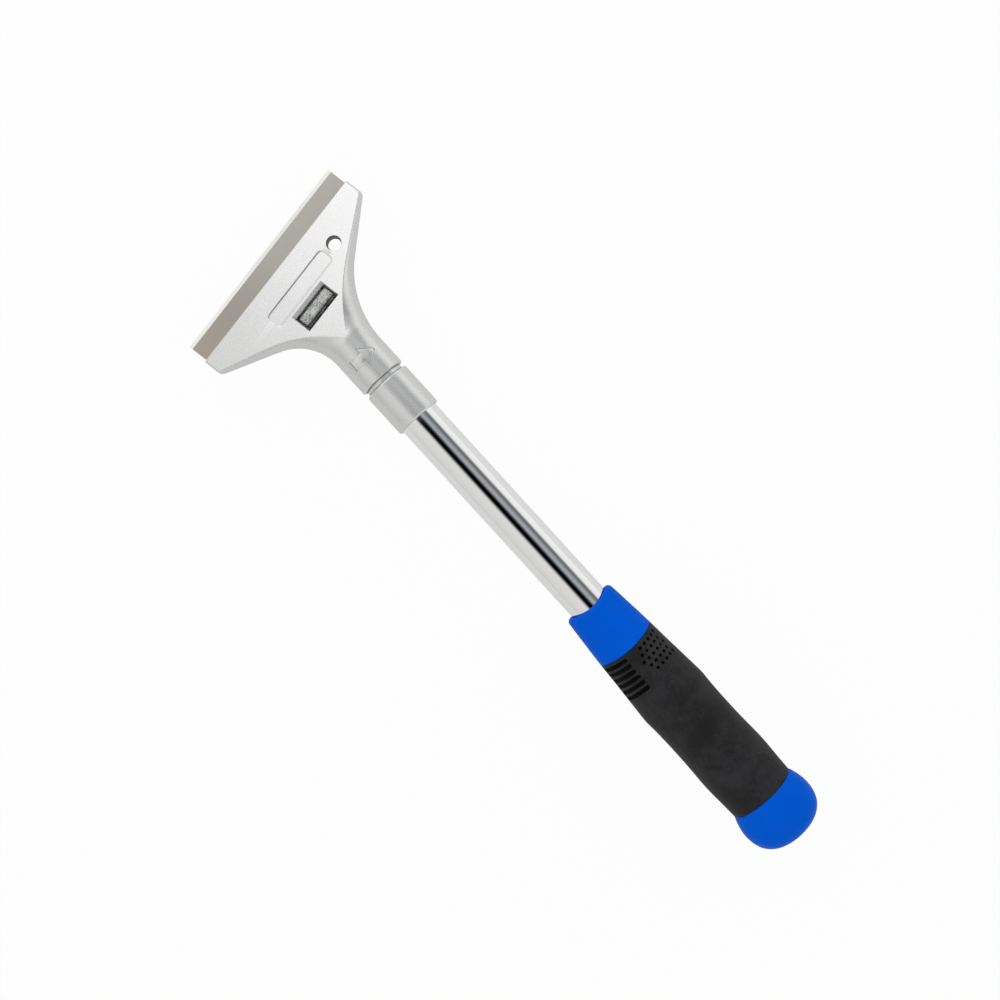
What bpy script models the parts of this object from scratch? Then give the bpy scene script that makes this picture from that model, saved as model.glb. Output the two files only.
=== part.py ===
"""Paint scraper: a die-cast head that clamps a blade, a chromed tube and a two-colour moulded grip.

Turning the handle drives a screw in the neck. Its tip pushes a clamp block forward in the head's window,
and the block's wedge-shaped nose holds the blade in its slot.

Lengths are in millimetres until a mesh is made, and each mesh is then scaled to metres.
Two sets of axes are used. The handle axes have +Y along the handle towards the blade, +Z up out of the
head's face and the neck's end at y = 0. The plate axes belong to the flat part of the head, which is
skewed on the handle: "across" runs along the blade, and "behind" is the distance behind the front lip.
"""
import math

import bmesh
import bpy
from mathutils import Matrix, Vector

METRES_PER_MM = 0.001
GAP = 0.3                        # room between pieces that touch
CLEAR = 1.0                      # how far a hollow starts outside the surface it opens

# Head: the flat plate
SKEW = math.radians(9.6)         # angle between the plate's centreline and the handle
CROSSING_AHEAD_OF_NECK = 48.0    # where the handle's axis crosses the plate's centreline
CROSSING_BEHIND_LIP = 19.5
PLATE_HALF_WIDTH = 51.15
FACE_HALF_WIDTH = 50.5
LIP_HALF_HEIGHT = 2.2
FACE_SLOPE = math.radians(11.5)  # each face rises towards the neck
END_WALL_LENGTH = 9.2            # straight ends of the plate, measured from the lip
FACE_END_LENGTH = 8.0
SIDE_ANGLE = math.radians(30.5)  # slanting sides, measured from the blade's edge
FACE_SIDE_ANGLE = math.radians(27.6)
CORNER_RADIUS = 3.0
FACE_CORNER_RADIUS = 0.8
SIDE_FILLET = {1: 45.5, -1: 23.5}
FACE_BEND_BEHIND_LIP = {1: 28.5, -1: 25.5}
FACE_BEND_RADIUS = {1: 95.0, -1: 59.0}
APEX_BEHIND_LIP = 44.3           # where the flat face runs out on the neck

# Head: the round neck
NECK_RADIUS = 11.2
NECK_END_ROUND = 0.7
BOSS_BORE_DEPTH = 7.0
BOSS_BORE_CONE = 1.5
SCREW_BORE_RADIUS = 4.3

# Blade and its slot
BLADE_WIDTH = 100.0
BLADE_DEPTH = 18.0
BLADE_THICKNESS = 0.8
BLADE_EXPOSED = 9.65
BEVEL_LENGTH = 1.7
EDGE_THICKNESS = 0.06

# Hang hole
HANG_HOLE_ACROSS = 25.5
HANG_HOLE_BEHIND_LIP = 13.2
HANG_HOLE_RADIUS = 3.4
HANG_HOLE_WAIST_RADIUS = 2.95
HANG_HOLE_SEGMENTS = 24

# Window, clamp block and its wedge nose
WINDOW_ACROSS = -1.5
WINDOW_WIDTH = 20.2
WINDOW_FRONT = 19.3
WINDOW_REAR = 29.5
POCKET_WIDTH = 19.9
POCKET_FLOOR_WIDTH = 19.5
POCKET_FRONT = 20.9
POCKET_REAR = 29.4
POCKET_FLOOR = -5.4
LEDGE_HEIGHT = 4.4               # foot of the window's sloping front wall
BLOCK_ACROSS = -1.4
BLOCK_WIDTH = 18.0
BLOCK_FRONT = 21.8
BLOCK_REAR = 27.0
BLOCK_BELOW_FACE = 1.7
BLOCK_CHAMFER = 0.5
FOOT_REAR = 27.9                 # step at the back of the block
FOOT_TOP = 2.6
NOSE_WIDTH = 15.6
NOSE_FRONT = 4.1
NOSE_FRONT_TOP = 1.6
NOSE_CHANNEL_WIDTH = 16.8
WEDGE_ANGLE = math.radians(8.0)

# Clamp screw: stations along the handle's axis
SCREW_RADIUS = 4.0
SCREW_SHOULDER = 38.4
SCREW_GROOVE_RADIUS = 2.0
SCREW_GROOVE_END = 41.6
SCREW_HEAD_RADIUS = 3.2
SCREW_TIP = 42.9
SCREW_HEX_START = -1.0
SCREW_HEX_RADIUS = 5.2
SCREW_REAR = -11.0
SCREW_CHAMFER = 0.6

# Handle collar
COLLAR_RADIUS = 11.1
COLLAR_FRONT = -2.2
COLLAR_REAR = -23.8
COLLAR_ROUND = 1.0
COLLAR_CHAMFER = 0.6             # on the boss's front edge and inside the spigot's end
BOSS_RADIUS = 9.5
BOSS_FRONT = 5.0
SOCKET_FLOOR = -12.5
SPIGOT_RADIUS = 8.0
SPIGOT_REAR = -22.0

# Chromed tube and the pin that holds it in the collar
TUBE_RADIUS = 9.55
TUBE_WALL = 1.2
TUBE_FRONT = -12.8
TUBE_REAR = -235.0
PIN_RADIUS = 1.5
PIN_AT = -18.0
PIN_INNER = -8.35
PIN_OUTER = -10.9                # just below the collar's surface

# Grip: blue core with a front band, black overmould and blue end cap
GRIP_FRONT = -134.8
BAND_REAR = -159.7
CAP_FRONT = -249.4
GRIP_REAR = -273.5
CORE_RADIUS = 12.6
CORE_BORE = TUBE_RADIUS + GAP
RIM_RADIUS = 12.65               # where the rounded front rim meets the band
RIM_ROUND = 2.2
RIM_INNER_EDGE = 1.6             # how far the rim's inner edge lies behind its front
RIM_SWAY = 2.0                   # how far the band's front rim dips back above and below
SEAM_SWAY = 1.5                  # the same for the seam between band and overmould
SEAM_SWAY_FADE = 20.0            # length over which the overmould's sway dies out
KEY_COUNT = 4
KEY_WIDTH = 3.0
KEY_HEIGHT = 0.9
KEY_SHORTFALL = 8.0              # how far the keys stop short of both ends of the overmould
CAP_SPIGOT_RADIUS = 9.4
CAP_SPIGOT_WALL = 1.8
CAP_SPIGOT_FRONT = -238.0
CAP_SPIGOT_CHAMFER = 0.5
CAP_HOLLOW_DEPTH = 23.4
CAP_HOLLOW_DRAFT = 0.5           # how much narrower the hollow is at its floor

# Diameters of the grip at stations behind the neck's end, joined by straight runs
BAND_DIAMETERS = ((141.0, 26.1), (147.0, 27.1), (153.0, 28.2), (-BAND_REAR, 29.2))
OVERMOULD_DIAMETERS = (
    (165.0, 29.85), (171.0, 30.6), (177.0, 31.5), (183.0, 32.35), (189.0, 33.2), (192.0, 33.5),
    (195.0, 33.15), (199.0, 32.75), (207.0, 32.45), (216.0, 32.55), (222.0, 32.9), (228.0, 33.35),
    (231.5, 33.45), (236.0, 33.2), (242.0, 32.6), (-CAP_FRONT, 32.1),
)
CAP_DIAMETERS = (
    (250.5, 33.0), (252.0, 34.1), (254.5, 35.5), (257.0, 36.4), (260.0, 36.65), (263.0, 35.95),
    (265.0, 34.9), (267.0, 33.2), (269.0, 30.2), (270.7, 26.3), (272.0, 21.5), (273.0, 14.8),
    (-GRIP_REAR, 9.0),
)

# Finger grooves and dimples in the overmould
GROOVE_COUNT = 6
GROOVE_FIRST = -162.3
GROOVE_PITCH = 3.2
GROOVE_RADIUS = 1.0
GROOVE_START = math.radians(21.0)     # angles from the top, towards the left side
GROOVE_END = math.radians(80.0)
DIMPLE_ROW_FIRST = -162.5
DIMPLE_ROW_PITCH = 3.05
DIMPLE_COUNTS = (5, 5, 6, 5, 5)
DIMPLE_FARTHEST = (60.0, 54.5)        # degrees from the top, on odd and even rows
DIMPLE_ANGLE_PITCH = 11.6
DIMPLE_RADIUS = 0.7
DIMPLE_DEPTH = 0.6

ROUND_SEGMENTS = 40


def clear_scene():
    for thing in list(bpy.data.objects):
        bpy.data.objects.remove(thing, do_unlink=True)


def make_material(name, colour, roughness, metallic=0.0):
    material = bpy.data.materials.new(name)
    material.use_nodes = True
    shader = material.node_tree.nodes["Principled BSDF"]
    shader.inputs["Base Color"].default_value = (*colour, 1.0)
    shader.inputs["Roughness"].default_value = roughness
    shader.inputs["Metallic"].default_value = metallic
    return material


def add_object(name, frame, points, faces, material=None, sharp_angle=math.radians(28.0)):
    """Make a mesh from points in millimetres, weld it, turn its faces outwards and hang it on the frame."""
    mesh = bpy.data.meshes.new(name)
    shape = bmesh.new()
    corners = [shape.verts.new(Vector(point) * METRES_PER_MM) for point in points]
    for face in faces:
        shape.faces.new([corners[index] for index in face])
    bmesh.ops.remove_doubles(shape, verts=shape.verts, dist=1e-6)
    bmesh.ops.dissolve_degenerate(shape, edges=shape.edges, dist=1e-6)
    bmesh.ops.recalc_face_normals(shape, faces=shape.faces)
    shape.to_mesh(mesh)
    shape.free()
    mesh.shade_smooth()
    mesh.set_sharp_from_angle(angle=sharp_angle)
    if material:
        mesh.materials.append(material)
    piece = bpy.data.objects.new(name, mesh)
    piece.parent = frame
    bpy.context.scene.collection.objects.link(piece)
    return piece


def cut(piece, cutter):
    """Take the cutter's shape out of the piece and hide the cutter."""
    boolean = piece.modifiers.new(cutter.name, "BOOLEAN")
    boolean.operation = "DIFFERENCE"
    boolean.object = cutter
    cutter.hide_render = True
    cutter.display_type = "WIRE"


def loft(rings, closed=False):
    """Faces between rings of equal length: a capped skin, or a closed loop of rings."""
    count = len(rings[0])
    points = [point for ring in rings for point in ring]
    faces = []
    spans = len(rings) if closed else len(rings) - 1
    for span in range(spans):
        here = span * count
        there = ((span + 1) % len(rings)) * count
        for index in range(count):
            following = (index + 1) % count
            faces.append((here + index, here + following, there + following, there + index))
    if not closed:
        faces.append(tuple(range(count)))
        faces.append(tuple(range(len(points) - count, len(points))))
    return points, faces


def circle(y, radius, sway=0.0, segments=ROUND_SEGMENTS):
    """A ring round the handle's axis. Sway pulls it back above and below the axis."""
    ring = []
    for index in range(segments):
        angle = math.tau * index / segments
        across = math.sin(angle)
        up = math.cos(angle)
        ring.append((radius * across, y - sway * up * up, radius * up))
    return ring


def turned(name, frame, profile, material=None, hollow=False, segments=ROUND_SEGMENTS):
    """Turn a profile of (y, radius) or (y, radius, sway) round the handle's axis."""
    rings = [circle(*row, segments=segments) for row in profile]
    return add_object(name, frame, *loft(rings, closed=hollow), material)


def arc(centre_y, centre_radius, size, start, end, steps):
    """Points (y, radius) on an arc of a turned profile, with angles in degrees from +Y."""
    row = []
    for step in range(steps + 1):
        angle = math.radians(start + (end - start) * step / steps)
        row.append((centre_y + size * math.cos(angle), centre_radius + size * math.sin(angle)))
    return row


def plate_to_handle(across, behind, height):
    """A point of the plate, in the handle's axes."""
    ahead = CROSSING_BEHIND_LIP - behind
    x = across * math.cos(SKEW) - ahead * math.sin(SKEW)
    y = CROSSING_AHEAD_OF_NECK + across * math.sin(SKEW) + ahead * math.cos(SKEW)
    return (x, y, height)


def face_height(behind):
    """Height of the head's flat face above the middle plane."""
    return LIP_HALF_HEIGHT + behind * math.tan(FACE_SLOPE)


def axis_across(behind):
    """Where the section's centre lies: the plate's centreline, then the handle's axis."""
    return -max(behind - CROSSING_BEHIND_LIP, 0.0) * math.tan(SKEW)


def rounded_path(corners, radii, steps=8):
    """A polyline whose inner corners are replaced by arcs."""
    path = [Vector(corners[0])]
    for before, corner, after, radius in zip(corners, corners[1:], corners[2:], radii):
        corner = Vector(corner)
        back = (Vector(before) - corner).normalized()
        on = (Vector(after) - corner).normalized()
        half_angle = back.angle(on) / 2
        centre = corner + (back + on).normalized() * radius / math.sin(half_angle)
        start = corner + back * radius / math.tan(half_angle)
        end = corner + on * radius / math.tan(half_angle)
        turn = (start - centre).angle_signed(end - centre)
        for step in range(steps + 1):
            spin = Matrix.Rotation(-turn * step / steps, 2)
            path.append(centre + spin @ (start - centre))
    path.append(Vector(corners[-1]))
    return path


def across_at(path, behind):
    """Where a path that runs backwards crosses a given distance behind the lip."""
    for first, second in zip(path, path[1:]):
        if first.y <= behind <= second.y and second.y > first.y:
            share = (behind - first.y) / (second.y - first.y)
            return first.x + share * (second.x - first.x)
    return path[-1].x


def outer_path(side):
    """Widest outline of the head on one side: end wall, slanting side, fillet and neck."""
    run = 1 / math.tan(SIDE_ANGLE)
    lean = side * math.tan(SKEW)
    neck = NECK_RADIUS / math.cos(SKEW)
    meeting = PLATE_HALF_WIDTH + END_WALL_LENGTH * run - neck - CROSSING_BEHIND_LIP * lean
    meeting = meeting / (run - lean)
    past_neck = 80.0
    corners = [
        (side * PLATE_HALF_WIDTH, -1.0),
        (side * PLATE_HALF_WIDTH, END_WALL_LENGTH),
        (side * (PLATE_HALF_WIDTH - (meeting - END_WALL_LENGTH) * run), meeting),
        (side * neck + axis_across(past_neck), past_neck),
    ]
    return rounded_path(corners, (CORNER_RADIUS, SIDE_FILLET[side]), steps=14)


def face_path(side):
    """Edge of the flat face on one side, from the lip to the point where the face runs out."""
    run = 1 / math.tan(FACE_SIDE_ANGLE)
    bend = FACE_BEND_BEHIND_LIP[side]
    corners = [
        (side * FACE_HALF_WIDTH, -1.0),
        (side * FACE_HALF_WIDTH, FACE_END_LENGTH),
        (side * (FACE_HALF_WIDTH - (bend - FACE_END_LENGTH) * run), bend),
        (axis_across(APEX_BEHIND_LIP), APEX_BEHIND_LIP),
    ]
    return rounded_path(corners, (FACE_CORNER_RADIUS, FACE_BEND_RADIUS[side]), steps=14)


def head_side(half_width, face_half_width, height, steps):
    """One side of a head section: part of an ellipse, cut off where the flat faces start."""
    top = math.acos(min(face_half_width / half_width, 1.0))
    rise = height / math.sin(top)
    side = []
    for step in range(steps + 1):
        angle = top * (1 - 2 * step / steps)
        side.append((half_width * math.cos(angle), rise * math.sin(angle)))
    return side


def head_section(behind, outer, face, steps):
    """A section of the head parallel to the blade's edge, as points in the handle's axes."""
    centre = axis_across(behind)
    past_apex = behind >= APEX_BEHIND_LIP
    height = NECK_RADIUS if past_apex else face_height(behind)
    ring = []
    for side in (1, -1):
        half_width = abs(across_at(outer[side], behind) - centre)
        face_half_width = 0.0 if past_apex else abs(across_at(face[side], behind) - centre)
        points = head_side(half_width, face_half_width, height, steps)
        if side < 0:
            points.reverse()
        ring += [plate_to_handle(centre + side * x, behind, z) for x, z in points]
    return ring


def neck_section(y, radius, steps):
    """A round section square to the handle's axis, with points in the same order."""
    ring = []
    for side in (1, -1):
        points = head_side(radius, 0.0, radius, steps)
        if side < 0:
            points.reverse()
        ring += [(side * x, y, z) for x, z in points]
    return ring


def head_body(frame, material):
    """The head's outside: a wedge-shaped plate that flows into the round neck."""
    steps = 16
    outer = {side: outer_path(side) for side in (1, -1)}
    face = {side: face_path(side) for side in (1, -1)}
    stations = [0.0, 6.8, 7.6, 8.2, 8.7, 9.2, 9.8, 10.6, 12.0]
    stations += [14.0 + 2.1 * step for step in range(14)]
    stations += [APEX_BEHIND_LIP, 47.0, 50.0, 53.5]
    rings = [head_section(behind, outer, face, steps) for behind in stations]
    rings.append(neck_section(NECK_END_ROUND, NECK_RADIUS, steps))
    rings.append(neck_section(0.25 * NECK_END_ROUND, NECK_RADIUS - 0.3 * NECK_END_ROUND, steps))
    rings.append(neck_section(0.0, NECK_RADIUS - NECK_END_ROUND, steps))
    return add_object("head_casting", frame, *loft(rings), material)


def plate_solid(name, frame, outline, bottom, top, material=None):
    """A solid over an outline of (across, behind) points, between two heights given as functions."""
    rings = []
    for height in (bottom, top):
        rings.append([plate_to_handle(across, behind, height(behind)) for across, behind in outline])
    return add_object(name, frame, *loft(rings), material)


def rectangle(across, width, front, rear):
    half = width / 2
    return [(across - half, front), (across + half, front), (across + half, rear), (across - half, rear)]


def nose_top(behind):
    return NOSE_FRONT_TOP + (behind - NOSE_FRONT) * math.tan(WEDGE_ANGLE)


def blade_slot(frame):
    half_height = BLADE_THICKNESS / 2 + GAP
    outline = rectangle(0.0, BLADE_WIDTH + 2 * GAP, -CLEAR, BLADE_DEPTH - BLADE_EXPOSED + GAP)
    return plate_solid("slot_cutter", frame, outline, lambda s: -half_height, lambda s: half_height)


def nose_channel(frame):
    """Room ahead of the window for the clamp block's nose, over the blade."""
    outline = rectangle(BLOCK_ACROSS, NOSE_CHANNEL_WIDTH, NOSE_FRONT - GAP, POCKET_FRONT + CLEAR)
    half_height = BLADE_THICKNESS / 2 + GAP
    name = "nose_channel_cutter"
    return plate_solid(name, frame, outline, lambda s: -half_height, lambda s: nose_top(s) + GAP)


def window_pocket(frame):
    """The window's pocket: steep walls below, and a sloping front wall that meets the face."""
    levels = [
        (POCKET_FLOOR, POCKET_FLOOR_WIDTH, POCKET_FRONT, POCKET_REAR),
        (LEDGE_HEIGHT, POCKET_WIDTH, POCKET_FRONT, POCKET_REAR),
    ]
    rings = []
    for height, width, front, rear in levels:
        outline = rectangle(WINDOW_ACROSS, width, front, rear)
        rings.append([plate_to_handle(across, behind, height) for across, behind in outline])
    outline = rectangle(WINDOW_ACROSS, WINDOW_WIDTH, WINDOW_FRONT, WINDOW_REAR)
    rings.append([plate_to_handle(across, behind, face_height(behind)) for across, behind in outline])
    rings.append([plate_to_handle(across, behind, face_height(behind) + CLEAR) for across, behind in outline])
    return add_object("window_cutter", frame, *loft(rings))


def hang_hole(frame):
    """A hanging hole with draft from both faces to a waist at the middle plane."""
    rim = face_height(HANG_HOLE_BEHIND_LIP)
    flare = (HANG_HOLE_RADIUS - HANG_HOLE_WAIST_RADIUS) / rim
    reach = rim + CLEAR
    centre = Vector(plate_to_handle(HANG_HOLE_ACROSS, HANG_HOLE_BEHIND_LIP, 0.0))
    rings = []
    for height in (-reach, 0.0, reach):
        radius = HANG_HOLE_WAIST_RADIUS + flare * abs(height)
        ring = []
        for index in range(HANG_HOLE_SEGMENTS):
            angle = math.tau * index / HANG_HOLE_SEGMENTS
            ring.append(centre + Vector((radius * math.cos(angle), radius * math.sin(angle), height)))
        rings.append(ring)
    return add_object("hang_hole_cutter", frame, *loft(rings))


def neck_bore(frame):
    """Counterbore for the collar's boss, then the screw's bore through to the window."""
    profile = [
        (-CLEAR, BOSS_RADIUS + GAP),
        (BOSS_BORE_DEPTH, BOSS_RADIUS + GAP),
        (BOSS_BORE_DEPTH + BOSS_BORE_CONE, SCREW_BORE_RADIUS),
        (SCREW_SHOULDER, SCREW_BORE_RADIUS),
    ]
    return turned("neck_bore_cutter", frame, profile, segments=32)


def head_casting(frame, material):
    head = head_body(frame, material)
    cut(head, blade_slot(frame))
    cut(head, nose_channel(frame))
    cut(head, window_pocket(frame))
    cut(head, hang_hole(frame))
    cut(head, neck_bore(frame))
    return head


def scraper_blade(frame, material):
    """A double-edged blade: the section of a honed strip, extruded along its edge."""
    half = BLADE_THICKNESS / 2
    edge = EDGE_THICKNESS / 2
    front = -BLADE_EXPOSED
    rear = BLADE_DEPTH - BLADE_EXPOSED
    section = [
        (front, edge), (front + BEVEL_LENGTH, half), (rear - BEVEL_LENGTH, half), (rear, edge),
        (rear, -edge), (rear - BEVEL_LENGTH, -half), (front + BEVEL_LENGTH, -half), (front, -edge),
    ]
    rings = []
    for across in (-BLADE_WIDTH / 2, BLADE_WIDTH / 2):
        rings.append([plate_to_handle(across, behind, height) for behind, height in section])
    return add_object("scraper_blade", frame, *loft(rings), material, sharp_angle=math.radians(5.0))


def clamp_block(frame, material):
    """Cast block with a wedge nose in front and a T-slot that drops over the screw's head."""
    nose_bottom = BLADE_THICKNESS / 2 + GAP
    bottom = POCKET_FLOOR + GAP
    chamfer = BLOCK_CHAMFER
    top_front = face_height(BLOCK_FRONT) - BLOCK_BELOW_FACE
    top_rear = face_height(BLOCK_REAR) - BLOCK_BELOW_FACE
    section = [
        (BLOCK_FRONT, bottom), (FOOT_REAR, bottom), (FOOT_REAR, FOOT_TOP), (BLOCK_REAR, FOOT_TOP),
        (BLOCK_REAR, top_rear - chamfer), (BLOCK_REAR - chamfer, top_rear),
        (BLOCK_FRONT + chamfer, top_front), (BLOCK_FRONT, top_front - chamfer),
    ]
    half = BLOCK_WIDTH / 2
    rings = []
    for across in (BLOCK_ACROSS - half, BLOCK_ACROSS + half):
        rings.append([plate_to_handle(across, behind, height) for behind, height in section])
    block = add_object("clamp_block", frame, *loft(rings), material)

    nose_outline = rectangle(BLOCK_ACROSS, NOSE_WIDTH, NOSE_FRONT, BLOCK_FRONT + CLEAR)
    nose = plate_solid("nose_shape", frame, nose_outline, lambda s: nose_bottom, nose_top)
    join = block.modifiers.new("nose", "BOOLEAN")
    join.operation = "UNION"
    join.object = nose
    nose.hide_render = True
    nose.display_type = "WIRE"

    below = POCKET_FLOOR - CLEAR
    past_foot = SCREW_SHOULDER - 2.0
    groove_room = SCREW_GROOVE_RADIUS + GAP
    head_room = SCREW_HEAD_RADIUS + GAP
    head_rear = SCREW_GROOVE_END - GAP
    head_front = SCREW_TIP + GAP
    for name, rear, front, room in (
        ("screw_groove_slot_cutter", past_foot, SCREW_GROOVE_END, groove_room),
        ("screw_head_slot_cutter", head_rear, head_front, head_room),
    ):
        cut(block, slot_round_axis(name, frame, rear, front, room, below))
    return block


def slot_round_axis(name, frame, rear, front, radius, bottom):
    """A slot with a round top that straddles the handle's axis and runs out below."""
    outline = [(radius, bottom), (-radius, bottom)]
    steps = 12
    for step in range(steps + 1):
        angle = math.pi * (1 - step / steps)
        outline.append((radius * math.cos(angle), radius * math.sin(angle)))
    rings = [[(x, y, z) for x, z in outline] for y in (rear, front)]
    return add_object(name, frame, *loft(rings))


def clamp_screw(frame, material):
    """Screw with a hexagonal shank that is cast into the collar and a grooved tip for the block."""
    profile = [
        (SCREW_TIP, SCREW_HEAD_RADIUS - SCREW_CHAMFER),
        (SCREW_TIP - SCREW_CHAMFER, SCREW_HEAD_RADIUS),
        (SCREW_GROOVE_END, SCREW_HEAD_RADIUS),
        (SCREW_GROOVE_END, SCREW_GROOVE_RADIUS),
        (SCREW_SHOULDER, SCREW_GROOVE_RADIUS),
        (SCREW_SHOULDER, SCREW_RADIUS - SCREW_CHAMFER),
        (SCREW_SHOULDER - SCREW_CHAMFER, SCREW_RADIUS),
        (SCREW_HEX_START, SCREW_RADIUS),
    ]
    segments = 24
    rings = [circle(*row, segments=segments) for row in profile]
    for y in (SCREW_HEX_START, SCREW_REAR):
        rings.append(hexagon_ring(y, SCREW_HEX_RADIUS, segments))
    return add_object("clamp_screw", frame, *loft(rings), material)


def hexagon_ring(y, corner_radius, segments):
    """A hexagon whose sides are split so that it has as many points as a circle."""
    ring = []
    per_side = segments // 6
    for side in range(6):
        for step in range(per_side):
            share = step / per_side
            first = math.tau * side / 6
            second = math.tau * (side + 1) / 6
            x = corner_radius * ((1 - share) * math.sin(first) + share * math.sin(second))
            z = corner_radius * ((1 - share) * math.cos(first) + share * math.cos(second))
            ring.append((x, y, z))
    return ring


def handle_collar(frame, material):
    """Cast collar: a boss that turns in the neck, a rounded barrel and a socket for the tube."""
    outside = [
        (BOSS_FRONT, BOSS_RADIUS - COLLAR_CHAMFER),
        (BOSS_FRONT - COLLAR_CHAMFER, BOSS_RADIUS),
        (COLLAR_FRONT, BOSS_RADIUS),
    ]
    outside += arc(COLLAR_FRONT - COLLAR_ROUND, COLLAR_RADIUS - COLLAR_ROUND, COLLAR_ROUND, 0, 90, 4)
    outside += arc(COLLAR_REAR + COLLAR_ROUND, COLLAR_RADIUS - COLLAR_ROUND, COLLAR_ROUND, 90, 180, 4)
    socket = [
        (COLLAR_REAR, TUBE_RADIUS + GAP),
        (SOCKET_FLOOR, TUBE_RADIUS + GAP),
        (SOCKET_FLOOR, SPIGOT_RADIUS),
        (SPIGOT_REAR + COLLAR_CHAMFER, SPIGOT_RADIUS),
        (SPIGOT_REAR, SPIGOT_RADIUS - COLLAR_CHAMFER),
    ]
    collar = turned("handle_collar", frame, outside + socket, material)
    bore = SCREW_RADIUS + GAP
    screw_room_profile = [(BOSS_FRONT + CLEAR, bore), (SCREW_HEX_START, bore)]
    screw_room = turned("screw_room_cutter", frame, screw_room_profile, segments=24)
    cut(collar, screw_room)
    hex_radius = SCREW_HEX_RADIUS + GAP / math.cos(math.pi / 6)
    hex_rings = [hexagon_ring(y, hex_radius, 6) for y in (SCREW_HEX_START + 0.5, SCREW_REAR - GAP)]
    cut(collar, add_object("hexagon_cutter", frame, *loft(hex_rings)))
    cut(collar, pin_hole("collar_pin_hole_cutter", frame))
    return collar


def upright_rod(name, frame, radius, bottom, top, material=None, segments=16):
    """A short round rod that crosses the handle's axis at the collar's pin."""
    rings = []
    for z in (bottom, top):
        ring = []
        for index in range(segments):
            angle = math.tau * index / segments
            ring.append((radius * math.cos(angle), PIN_AT + radius * math.sin(angle), z))
        rings.append(ring)
    return add_object(name, frame, *loft(rings), material)


def pin_hole(name, frame):
    return upright_rod(name, frame, PIN_RADIUS + GAP, -COLLAR_RADIUS - CLEAR, PIN_INNER + GAP / 2)


def collar_pin(frame, material):
    """Pin pressed in from below, which carries the turning force from the tube to the collar."""
    return upright_rod("collar_pin", frame, PIN_RADIUS, PIN_OUTER, PIN_INNER, material)


def handle_tube(frame, material):
    bore = TUBE_RADIUS - TUBE_WALL
    profile = [(TUBE_FRONT, TUBE_RADIUS), (TUBE_REAR, TUBE_RADIUS), (TUBE_REAR, bore), (TUBE_FRONT, bore)]
    tube = turned("handle_tube", frame, profile, material, hollow=True)
    cut(tube, pin_hole("tube_pin_hole_cutter", frame))
    return tube


def stations_to_profile(stations):
    return [(-behind, diameter / 2) for behind, diameter in stations]


def grip_core(frame, material):
    """Blue core: the band in front with its rolled rim, and a sleeve under the overmould with four keys."""
    band_rear_radius = BAND_DIAMETERS[-1][1] / 2
    sleeve_rear = CAP_FRONT
    rim = arc(GRIP_FRONT - RIM_ROUND, RIM_RADIUS - RIM_ROUND, RIM_ROUND, 0, 90, 5)
    profile = [(GRIP_FRONT - RIM_INNER_EDGE, CORE_BORE, RIM_SWAY)]
    profile += [(y, radius, RIM_SWAY) for y, radius in rim]
    for y, radius in stations_to_profile(BAND_DIAMETERS):
        share = (y - GRIP_FRONT) / (BAND_REAR - GRIP_FRONT)
        profile.append((y, radius, RIM_SWAY + share * (SEAM_SWAY - RIM_SWAY)))
    profile += [
        (BAND_REAR, CORE_RADIUS, SEAM_SWAY),
        (sleeve_rear, CORE_RADIUS),
        (sleeve_rear, CORE_BORE),
    ]
    core = turned("grip_core", frame, profile, material, hollow=True)
    for index in range(KEY_COUNT):
        join_key(core, frame, index)
    return core


def key_solid(name, frame, index, width, height, front, rear):
    """One lengthwise key on the core's sleeve."""
    angle = math.tau * (index + 0.5) / KEY_COUNT
    out = Vector((math.sin(angle), 0.0, math.cos(angle)))
    along = Vector((math.cos(angle), 0.0, -math.sin(angle)))
    low = CORE_RADIUS - CLEAR
    high = CORE_RADIUS + height
    rings = []
    for y in (front, rear):
        ring = []
        for sideways, outward in ((-0.5, low), (0.5, low), (0.5, high), (-0.5, high)):
            ring.append(out * outward + along * sideways * width + Vector((0.0, y, 0.0)))
        rings.append(ring)
    return add_object(name, frame, *loft(rings))


def join_key(core, frame, index):
    front_end = BAND_REAR - KEY_SHORTFALL
    rear_end = CAP_FRONT + KEY_SHORTFALL
    key = key_solid(f"key_{index}", frame, index, KEY_WIDTH, KEY_HEIGHT, front_end, rear_end)
    join = core.modifiers.new(key.name, "BOOLEAN")
    join.operation = "UNION"
    join.object = key
    key.hide_render = True
    key.display_type = "WIRE"


def overmould_radius(y):
    """Outer radius of the overmould at a station, from its table of diameters."""
    profile = [(BAND_REAR, BAND_DIAMETERS[-1][1] / 2)] + stations_to_profile(OVERMOULD_DIAMETERS)
    for (y0, r0), (y1, r1) in zip(profile, profile[1:]):
        if y1 <= y <= y0:
            return r0 + (r1 - r0) * (y0 - y) / (y0 - y1)
    return profile[-1][1]


def finger_groove(frame, index, side):
    """A round-ended groove part of the way round the left of the grip, on its upper or lower side."""
    y = GROOVE_FIRST - index * GROOVE_PITCH
    path_radius = overmould_radius(y) + 0.35 * GROOVE_RADIUS
    steps = 8
    rings = []
    for step in range(steps + 1):
        share = step / steps
        angle = -(GROOVE_START + (GROOVE_END - GROOVE_START) * share)
        size = GROOVE_RADIUS * (0.5 if step in (0, steps) else 1.0)
        out = Vector((math.sin(angle), 0.0, side * math.cos(angle)))
        ring = []
        for corner in range(8):
            turn = math.tau * (corner + 0.5) / 8
            offset = out * math.sin(turn) + Vector((0.0, math.cos(turn), 0.0))
            ring.append(out * path_radius + Vector((0.0, y, 0.0)) + offset * size)
        rings.append(ring)
    name = "upper" if side > 0 else "lower"
    return add_object(f"{name}_groove_cutter_{index}", frame, *loft(rings))


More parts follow.
